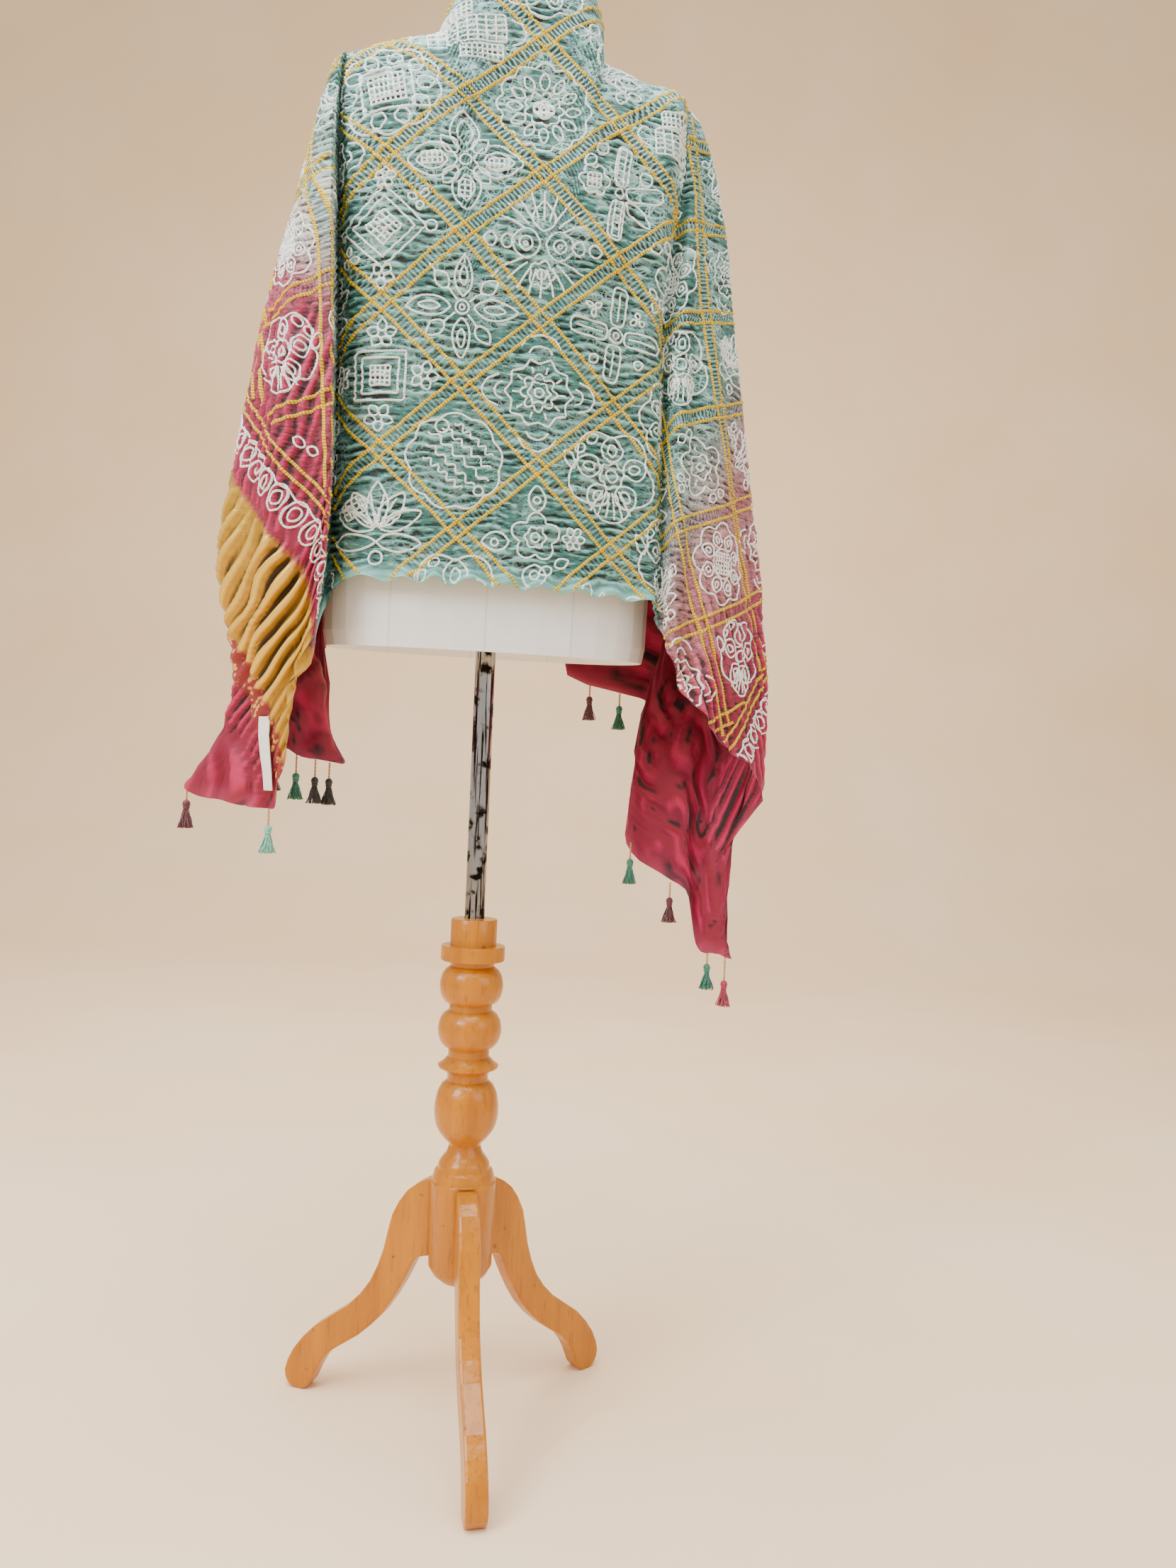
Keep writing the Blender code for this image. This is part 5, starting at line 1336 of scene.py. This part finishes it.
bpy.ops.mesh.select_all(action="SELECT")
bpy.ops.mesh.remove_doubles(threshold=0.00002)
bpy.ops.mesh.normals_make_consistent(inside=False)
bpy.ops.object.mode_set(mode="OBJECT")
for k, angle in enumerate(LEG_ANGLES):
    a = math.radians(angle)
    reach = HUB_FLAT + 0.010
    bpy.ops.object.select_all(action="DESELECT")
    bpy.ops.mesh.primitive_cube_add(size=1.0, rotation=(0, 0, a), scale=(0.020, 0.060, 0.130), location=(
        AXIS_AT[0] + reach * math.cos(a), AXIS_AT[1] + reach * math.sin(a), 0.2045))
    plane_iron = bpy.context.object
    cut = column.modifiers.new("flat %d" % k, "BOOLEAN")
    cut.operation = "DIFFERENCE"
    cut.object = plane_iron
    bpy.context.view_layer.objects.active = column
    bpy.ops.object.modifier_apply(modifier=cut.name)
    bpy.data.objects.remove(plane_iron)
bpy.ops.object.select_all(action="DESELECT")
column.select_set(True)
bpy.context.view_layer.objects.active = column
bpy.ops.object.shade_smooth_by_angle(angle=math.radians(34))
column.data.materials.clear()
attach(column, BODY)
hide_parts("column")
print("column faces:", len(column.data.polygons))

# %% [markdown]
# ## Finish of the stand
# The wood is a plain pale hardwood under a thick yellow varnish: the grain shows as soft long
# streaks, and the varnish gives soft, slightly wavy highlights.  The pole is a polished steel tube;
# the dark bands and marks down its length are painted dark reflection, and the steel is rougher there.

# %% Varnished wood
wood, tree, shader = new_material("varnished hardwood")
place = node(tree, "ShaderNodeTexCoord").outputs["Object"]
long_place = node(tree, "ShaderNodeMapping", Vector=place, Scale=(1.0, 1.0, 0.09)).outputs[0]
# growth lines about 3 mm apart, drawn out along the grain
grain = node(tree, "ShaderNodeTexNoise", Vector=long_place, Scale=260.0, Detail=4.0, Roughness=0.6,
             Distortion=0.5).outputs["Fac"]
broad_grain = node(tree, "ShaderNodeTexNoise", Vector=long_place, Scale=45.0, Detail=2.0).outputs["Fac"]
light = node(tree, "ShaderNodeMix", {"data_type": "RGBA"}, Factor=broad_grain, i6=linear("9A5200"),
             i7=linear("CE8400")).outputs[2]
streak = node(tree, "ShaderNodeMapRange", {"interpolation_type": "SMOOTHSTEP"}, Value=grain,
              From_Min=0.52, From_Max=0.70, To_Max=0.55).outputs[0]
tint = node(tree, "ShaderNodeMix", {"data_type": "RGBA"}, Factor=streak, i6=light,
            i7=linear("8A4E06")).outputs[2]
# dark dents and rubbed marks, 4 to 10 mm
marks = node(tree, "ShaderNodeTexNoise", Vector=place, Scale=95.0, Detail=3.0).outputs["Fac"]
mark = node(tree, "ShaderNodeMapRange", {"interpolation_type": "SMOOTHSTEP"}, Value=marks,
            From_Min=0.69, From_Max=0.76, To_Max=0.65).outputs[0]
tint = node(tree, "ShaderNodeMix", {"data_type": "RGBA"}, Factor=mark, i6=tint,
            i7=linear("5A3006")).outputs[2]
tree.links.new(tint, shader.inputs["Base Color"])
shader.inputs["Roughness"].default_value = 0.34
shader.inputs["Coat Weight"].default_value = 0.4
shader.inputs["Coat Roughness"].default_value = 0.2
shader.inputs["Specular IOR Level"].default_value = 0.25
waviness = node(tree, "ShaderNodeTexNoise", Vector=place, Scale=60.0, Detail=3.0).outputs["Fac"]
bump = node(tree, "ShaderNodeBump", Strength=0.6, Distance=0.0022, Height=waviness)
tree.links.new(bump.outputs["Normal"], shader.inputs["Normal"])
tree.links.new(bump.outputs["Normal"], shader.inputs["Coat Normal"])
column.data.materials.append(wood)
for name in ("leg_front", "leg_right", "leg_left"):
    leg = bpy.data.objects[name]
    leg.data.materials.clear()
    leg.data.materials.append(wood)
print("wood on the column and three legs")

# %% Polished steel
# bare metal: it mirrors the room in long bright bands, and its long dark bands and patches are painted dark
# reflection, where it is also rougher
steel, tree, shader = new_material("polished steel tube")
place = node(tree, "ShaderNodeTexCoord").outputs["Object"]
long_place = node(tree, "ShaderNodeMapping", Vector=place, Scale=(1.0, 1.0, 0.035)).outputs[0]
reflection_band_noise = node(tree, "ShaderNodeTexNoise", Vector=long_place, Scale=420.0, Detail=3.0).outputs["Fac"]
painted_reflection_band = node(tree, "ShaderNodeMapRange", {"interpolation_type": "SMOOTHSTEP"}, Value=reflection_band_noise,
               From_Min=0.50, From_Max=0.62).outputs[0]
reflection_patch_noise = node(tree, "ShaderNodeTexNoise", Vector=place, Scale=60.0, Detail=4.0).outputs["Fac"]
painted_reflection_patch = node(tree, "ShaderNodeMapRange", {"interpolation_type": "SMOOTHSTEP"}, Value=reflection_patch_noise,
             From_Min=0.50, From_Max=0.62).outputs[0]
# painted dark reflection: both masks darken the steel, and they also make it rougher
worn = node(tree, "ShaderNodeMath", {"operation": "MAXIMUM"}, i0=painted_reflection_band, i1=painted_reflection_patch).outputs[0]
tint = node(tree, "ShaderNodeMix", {"data_type": "RGBA"}, Factor=worn, i6=linear("B9B5B0"),
            i7=linear("1B1513")).outputs[2]
tree.links.new(tint, shader.inputs["Base Color"])
shader.inputs["Metallic"].default_value = 1.0
rough = node(tree, "ShaderNodeMapRange", Value=worn, To_Min=0.12, To_Max=0.40).outputs[0]
tree.links.new(rough, shader.inputs["Roughness"])
pole = bpy.data.objects["pole"]
pole.data.materials.clear()
pole.data.materials.append(steel)
print("steel on the pole")

# %% [markdown]
# ## Finish of the dress form
# The form is covered with plain off-white cotton jersey, sewn from panels.  Three seams run up
# the front.  They are thin dark lines with a small groove, so the material draws them in the
# form's own direction, which is turned 10 degrees from the stand's.

# %% Jersey on the form
# knitted cotton: matt and faintly uneven, so the form looks soft and not moulded
SEAMS = (-0.109, -0.010, 0.082)      # m across the front
jersey, tree, shader = new_material("cotton jersey cover")
place = node(tree, "ShaderNodeTexCoord").outputs["Object"]
own = node(tree, "ShaderNodeMapping", {"vector_type": "TEXTURE"}, Vector=place,
           Location=(AXIS_AT[0], AXIS_AT[1], 0.0), Rotation=(0.0, 0.0, FORM_YAW)).outputs[0]
split = node(tree, "ShaderNodeSeparateXYZ", Vector=own)
knit = node(tree, "ShaderNodeTexNoise", Vector=own, Scale=900.0, Detail=1.0).outputs["Fac"]
soil = node(tree, "ShaderNodeTexNoise", Vector=own, Scale=9.0, Detail=3.0).outputs["Fac"]
tint = node(tree, "ShaderNodeMix", {"data_type": "RGBA"}, Factor=soil, i6=linear("DDDEDD"),
            i7=linear("F2F2F1")).outputs[2]
height = knit
for seam in SEAMS:
    gap = node(tree, "ShaderNodeMath", {"operation": "SUBTRACT"}, i0=split.outputs["X"], i1=seam).outputs[0]
    gap = node(tree, "ShaderNodeMath", {"operation": "ABSOLUTE"}, i0=gap).outputs[0]
    line = node(tree, "ShaderNodeMapRange", {"interpolation_type": "SMOOTHSTEP"}, Value=gap,
                From_Min=0.0014, From_Max=0.0004).outputs[0]
    share = node(tree, "ShaderNodeMath", {"operation": "MULTIPLY"}, i0=line, i1=0.20).outputs[0]
    tint = node(tree, "ShaderNodeMix", {"data_type": "RGBA"}, Factor=share, i6=tint,
                i7=linear("8E8C8A")).outputs[2]
    height = node(tree, "ShaderNodeMath", {"operation": "MULTIPLY_ADD"}, i0=line, i1=-2.0,
                  i2=height).outputs[0]
tree.links.new(tint, shader.inputs["Base Color"])
shader.inputs["Roughness"].default_value = 0.8
bump = node(tree, "ShaderNodeBump", Strength=0.4, Distance=0.0005, Height=height)
tree.links.new(bump.outputs["Normal"], shader.inputs["Normal"])
form = bpy.data.objects["form"]
form.data.materials.clear()
form.data.materials.append(jersey)
print("seams on the form:", len(SEAMS))

# %% Satin ribbon of the label
# long smooth floats of thread: brighter than the jersey, with a broad soft gloss
ribbon, tree, shader = new_material("woven satin ribbon")
place = node(tree, "ShaderNodeTexCoord").outputs["Object"]
# threads 0.4 mm apart on the real ribbon, drawn at 1 mm so that they show
threads = node(tree, "ShaderNodeTexNoise", Vector=place, Scale=1000.0, Detail=1.0).outputs["Fac"]
tint = node(tree, "ShaderNodeMix", {"data_type": "RGBA"}, Factor=threads, i6=linear("E4E2DD"),
            i7=linear("FBFAF7")).outputs[2]
tree.links.new(tint, shader.inputs["Base Color"])
shader.inputs["Roughness"].default_value = 0.45
bump = node(tree, "ShaderNodeBump", Strength=0.3, Distance=0.0003, Height=threads)
tree.links.new(bump.outputs["Normal"], shader.inputs["Normal"])
label = bpy.data.objects["label"]
label.data.materials.clear()
label.data.materials.append(ribbon)

# %% [markdown]
# ## Tassels
# A tassel is a hank of thread folded over a cord and bound under its head.  The cut ends hang
# as a skirt.  The head and the binding are shaped once, every strand is a thin tube, and each
# of the thirteen tassels gets its own copy, its own cord length and its own thread colour.
# Rayon thread is bright, with fine streaks painted darker as the shade of the deep gaps between the strands
# and lighter as painted highlight, and the cotton cord is dull.

# %% Thread colours
THREADS = {"mint": "7CC4AC", "maroon": "5C1222", "green": "2F7A62", "black": "1C1817",
           "crimson": "A3163C"}
TASSELS = ("mint", "maroon", "green", "black", "green", "black", "black", "crimson", "green",
           "maroon", "green", "green", "maroon")
thread_finish = {}
for name, colour in THREADS.items():
    thread_finish[name], tree, shader = new_material("twisted rayon thread, " + name)
    place = node(tree, "ShaderNodeTexCoord").outputs["Object"]
    long_place = node(tree, "ShaderNodeMapping", Vector=place, Scale=(1.0, 1.0, 0.15)).outputs[0]
    # painted light: fine streaks along each strand paint the thread darker, as shade between strands, and
    # lighter, as highlight
    fine = node(tree, "ShaderNodeTexNoise", Vector=long_place, Scale=1400.0, Detail=2.0).outputs["Fac"]
    shade = node(tree, "ShaderNodeMapRange", Value=fine, From_Min=0.3, From_Max=0.7).outputs[0]
    r, g, b, _ = linear(colour)
    tint = node(tree, "ShaderNodeMix", {"data_type": "RGBA"}, Factor=shade,
                i6=(0.45 * r, 0.45 * g, 0.45 * b, 1.0),
                i7=(min(1, 1.3 * r), min(1, 1.3 * g), min(1, 1.3 * b), 1.0))
    tree.links.new(tint.outputs[2], shader.inputs["Base Color"])
    shader.inputs["Roughness"].default_value = 0.5
    shader.inputs["Sheen Weight"].default_value = 0.3
cord_finish, tree, shader = new_material("twisted cotton cord, tan")
place = node(tree, "ShaderNodeTexCoord").outputs["Object"]
twist = node(tree, "ShaderNodeTexNoise", Vector=place, Scale=900.0, Detail=2.0).outputs["Fac"]
tint = node(tree, "ShaderNodeMix", {"data_type": "RGBA"}, Factor=twist, i6=linear("8E6238"),
            i7=linear("D9B078"))
tree.links.new(tint.outputs[2], shader.inputs["Base Color"])
shader.inputs["Roughness"].default_value = 0.7
print("thread colours:", ", ".join(THREADS))

# %% One tassel, with its head at the origin
HEAD_R, SKIRT, STRANDS = 0.0042, 0.0225, 60
bpy.ops.object.select_all(action="DESELECT")
bpy.ops.mesh.primitive_uv_sphere_add(segments=20, ring_count=12, radius=HEAD_R,
                                     location=(0, 0, -HEAD_R))
tassel = bpy.context.object
bpy.ops.object.transform_apply(location=True)
bpy.ops.object.mode_set(mode="EDIT")
bpy.ops.mesh.select_all(action="SELECT")
bpy.ops.transform.resize(value=(1.0, 1.0, 1.12), center_override=(0, 0, 0))
bpy.ops.mesh.select_all(action="DESELECT")
bpy.ops.mesh.primitive_torus_add(major_segments=24, minor_segments=8, location=(0, 0, -2.05 * HEAD_R),
                                 major_radius=0.0029, minor_radius=0.00085)
bpy.ops.transform.resize(value=(1.0, 1.0, 1.6), center_override=(0, 0, -2.05 * HEAD_R))
bpy.ops.object.mode_set(mode="OBJECT")


def tube(path, radii, sides):
    """Points and faces of a closed tube along a path that runs mostly up or down."""
    turn = np.arange(sides) * 2 * math.pi / sides
    round_it = np.column_stack([np.cos(turn), np.sin(turn), 0 * turn])
    verts = (np.asarray(path)[:, None] + np.asarray(radii)[:, None, None] * round_it).reshape(-1, 3)
    skin = [(k * sides + m, k * sides + (m + 1) % sides, (k + 1) * sides + (m + 1) % sides,
             (k + 1) * sides + m) for k in range(len(path) - 1) for m in range(sides)]
    skin += [tuple(range(sides))[::-1], tuple((len(path) - 1) * sides + m for m in range(sides))]
    return verts, skin


def joined(parts):
    verts, skin = [], []
    for v, f in parts:
        skin += [tuple(i + len(verts) for i in face) for face in f]
        verts += [tuple(p) for p in v]
    return verts, skin


GOLDEN = 2.39996          # radians: spreads the strands evenly over the head
strands = []
for k in range(STRANDS):
    turn = GOLDEN * k
    out = math.sqrt((k + 0.5) / STRANDS)
    t = np.linspace(0, 1, 7)
    reach = out * (0.0020 + 0.0072 * t ** 1.2) + 0.0004 * np.sin(9 * t + k)
    drop = -1.9 * HEAD_R - SKIRT * t * (1.0 - 0.06 * ((k * 7) % 5) / 5)
    sway = turn + 0.25 * np.sin(3 * t + 1.7 * k)
    strands.append(tube(np.column_stack([reach * np.cos(sway), reach * np.sin(sway), drop]),
                        0.00052 * np.ones(7), 4))
head_verts = np.array([v.co[:] for v in tassel.data.vertices])
head_faces = [tuple(p.vertices) for p in tassel.data.polygons]
head = joined([(head_verts, head_faces)] + strands)
bpy.data.objects.remove(tassel)
print("one tassel:", len(head[1]), "faces")

# %% Thirteen tassels
PLY_R = 0.00070
tassels = []
for k, colour in enumerate(TASSELS):
    name = "tassel_%02d" % (k + 1)
    low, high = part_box(name)
    top = np.array(((low[0] + high[0]) / 2, (low[1] + high[1]) / 2, high[2]))
    cord = max(0.004, high[2] - low[2] - 2 * HEAD_R - SKIRT + 0.0005)
    t = np.linspace(0, 1, 9)
    plies = [tube(np.column_stack([0.0006 * np.cos(14 * t + a), 0.0006 * np.sin(14 * t + a), -cord * t]),
                  PLY_R * np.ones(9), 6) for a in (0.0, math.pi)]
    turned_head = turn_by(37 * k, 0, 0, *np.array(head[0])[:, :2].T)
    whole = joined(plies + [(np.column_stack([turned_head, np.array(head[0])[:, 2] - cord]), head[1])])
    piece = mesh_object("fine_" + name, np.array(whole[0]) + top, whole[1], thread_finish[colour])
    piece.data.materials.append(cord_finish)
    for face in piece.data.polygons[:sum(len(ply[1]) for ply in plies)]:
        face.material_index = 1
    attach(piece, BODY)
    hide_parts(name)
    tassels.append(piece)
lowest = min(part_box(piece.name[5:])[0][2] for piece in tassels)
print("tassels:", len(tassels), "down to z %.3f" % lowest)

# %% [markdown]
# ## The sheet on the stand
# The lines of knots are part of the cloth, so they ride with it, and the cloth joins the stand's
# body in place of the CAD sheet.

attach(cloth, BODY)
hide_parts("dupatta")

# %% Size of everything shown
low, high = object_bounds()
print("visual", [round(v, 4) for v in (*low, *high)])
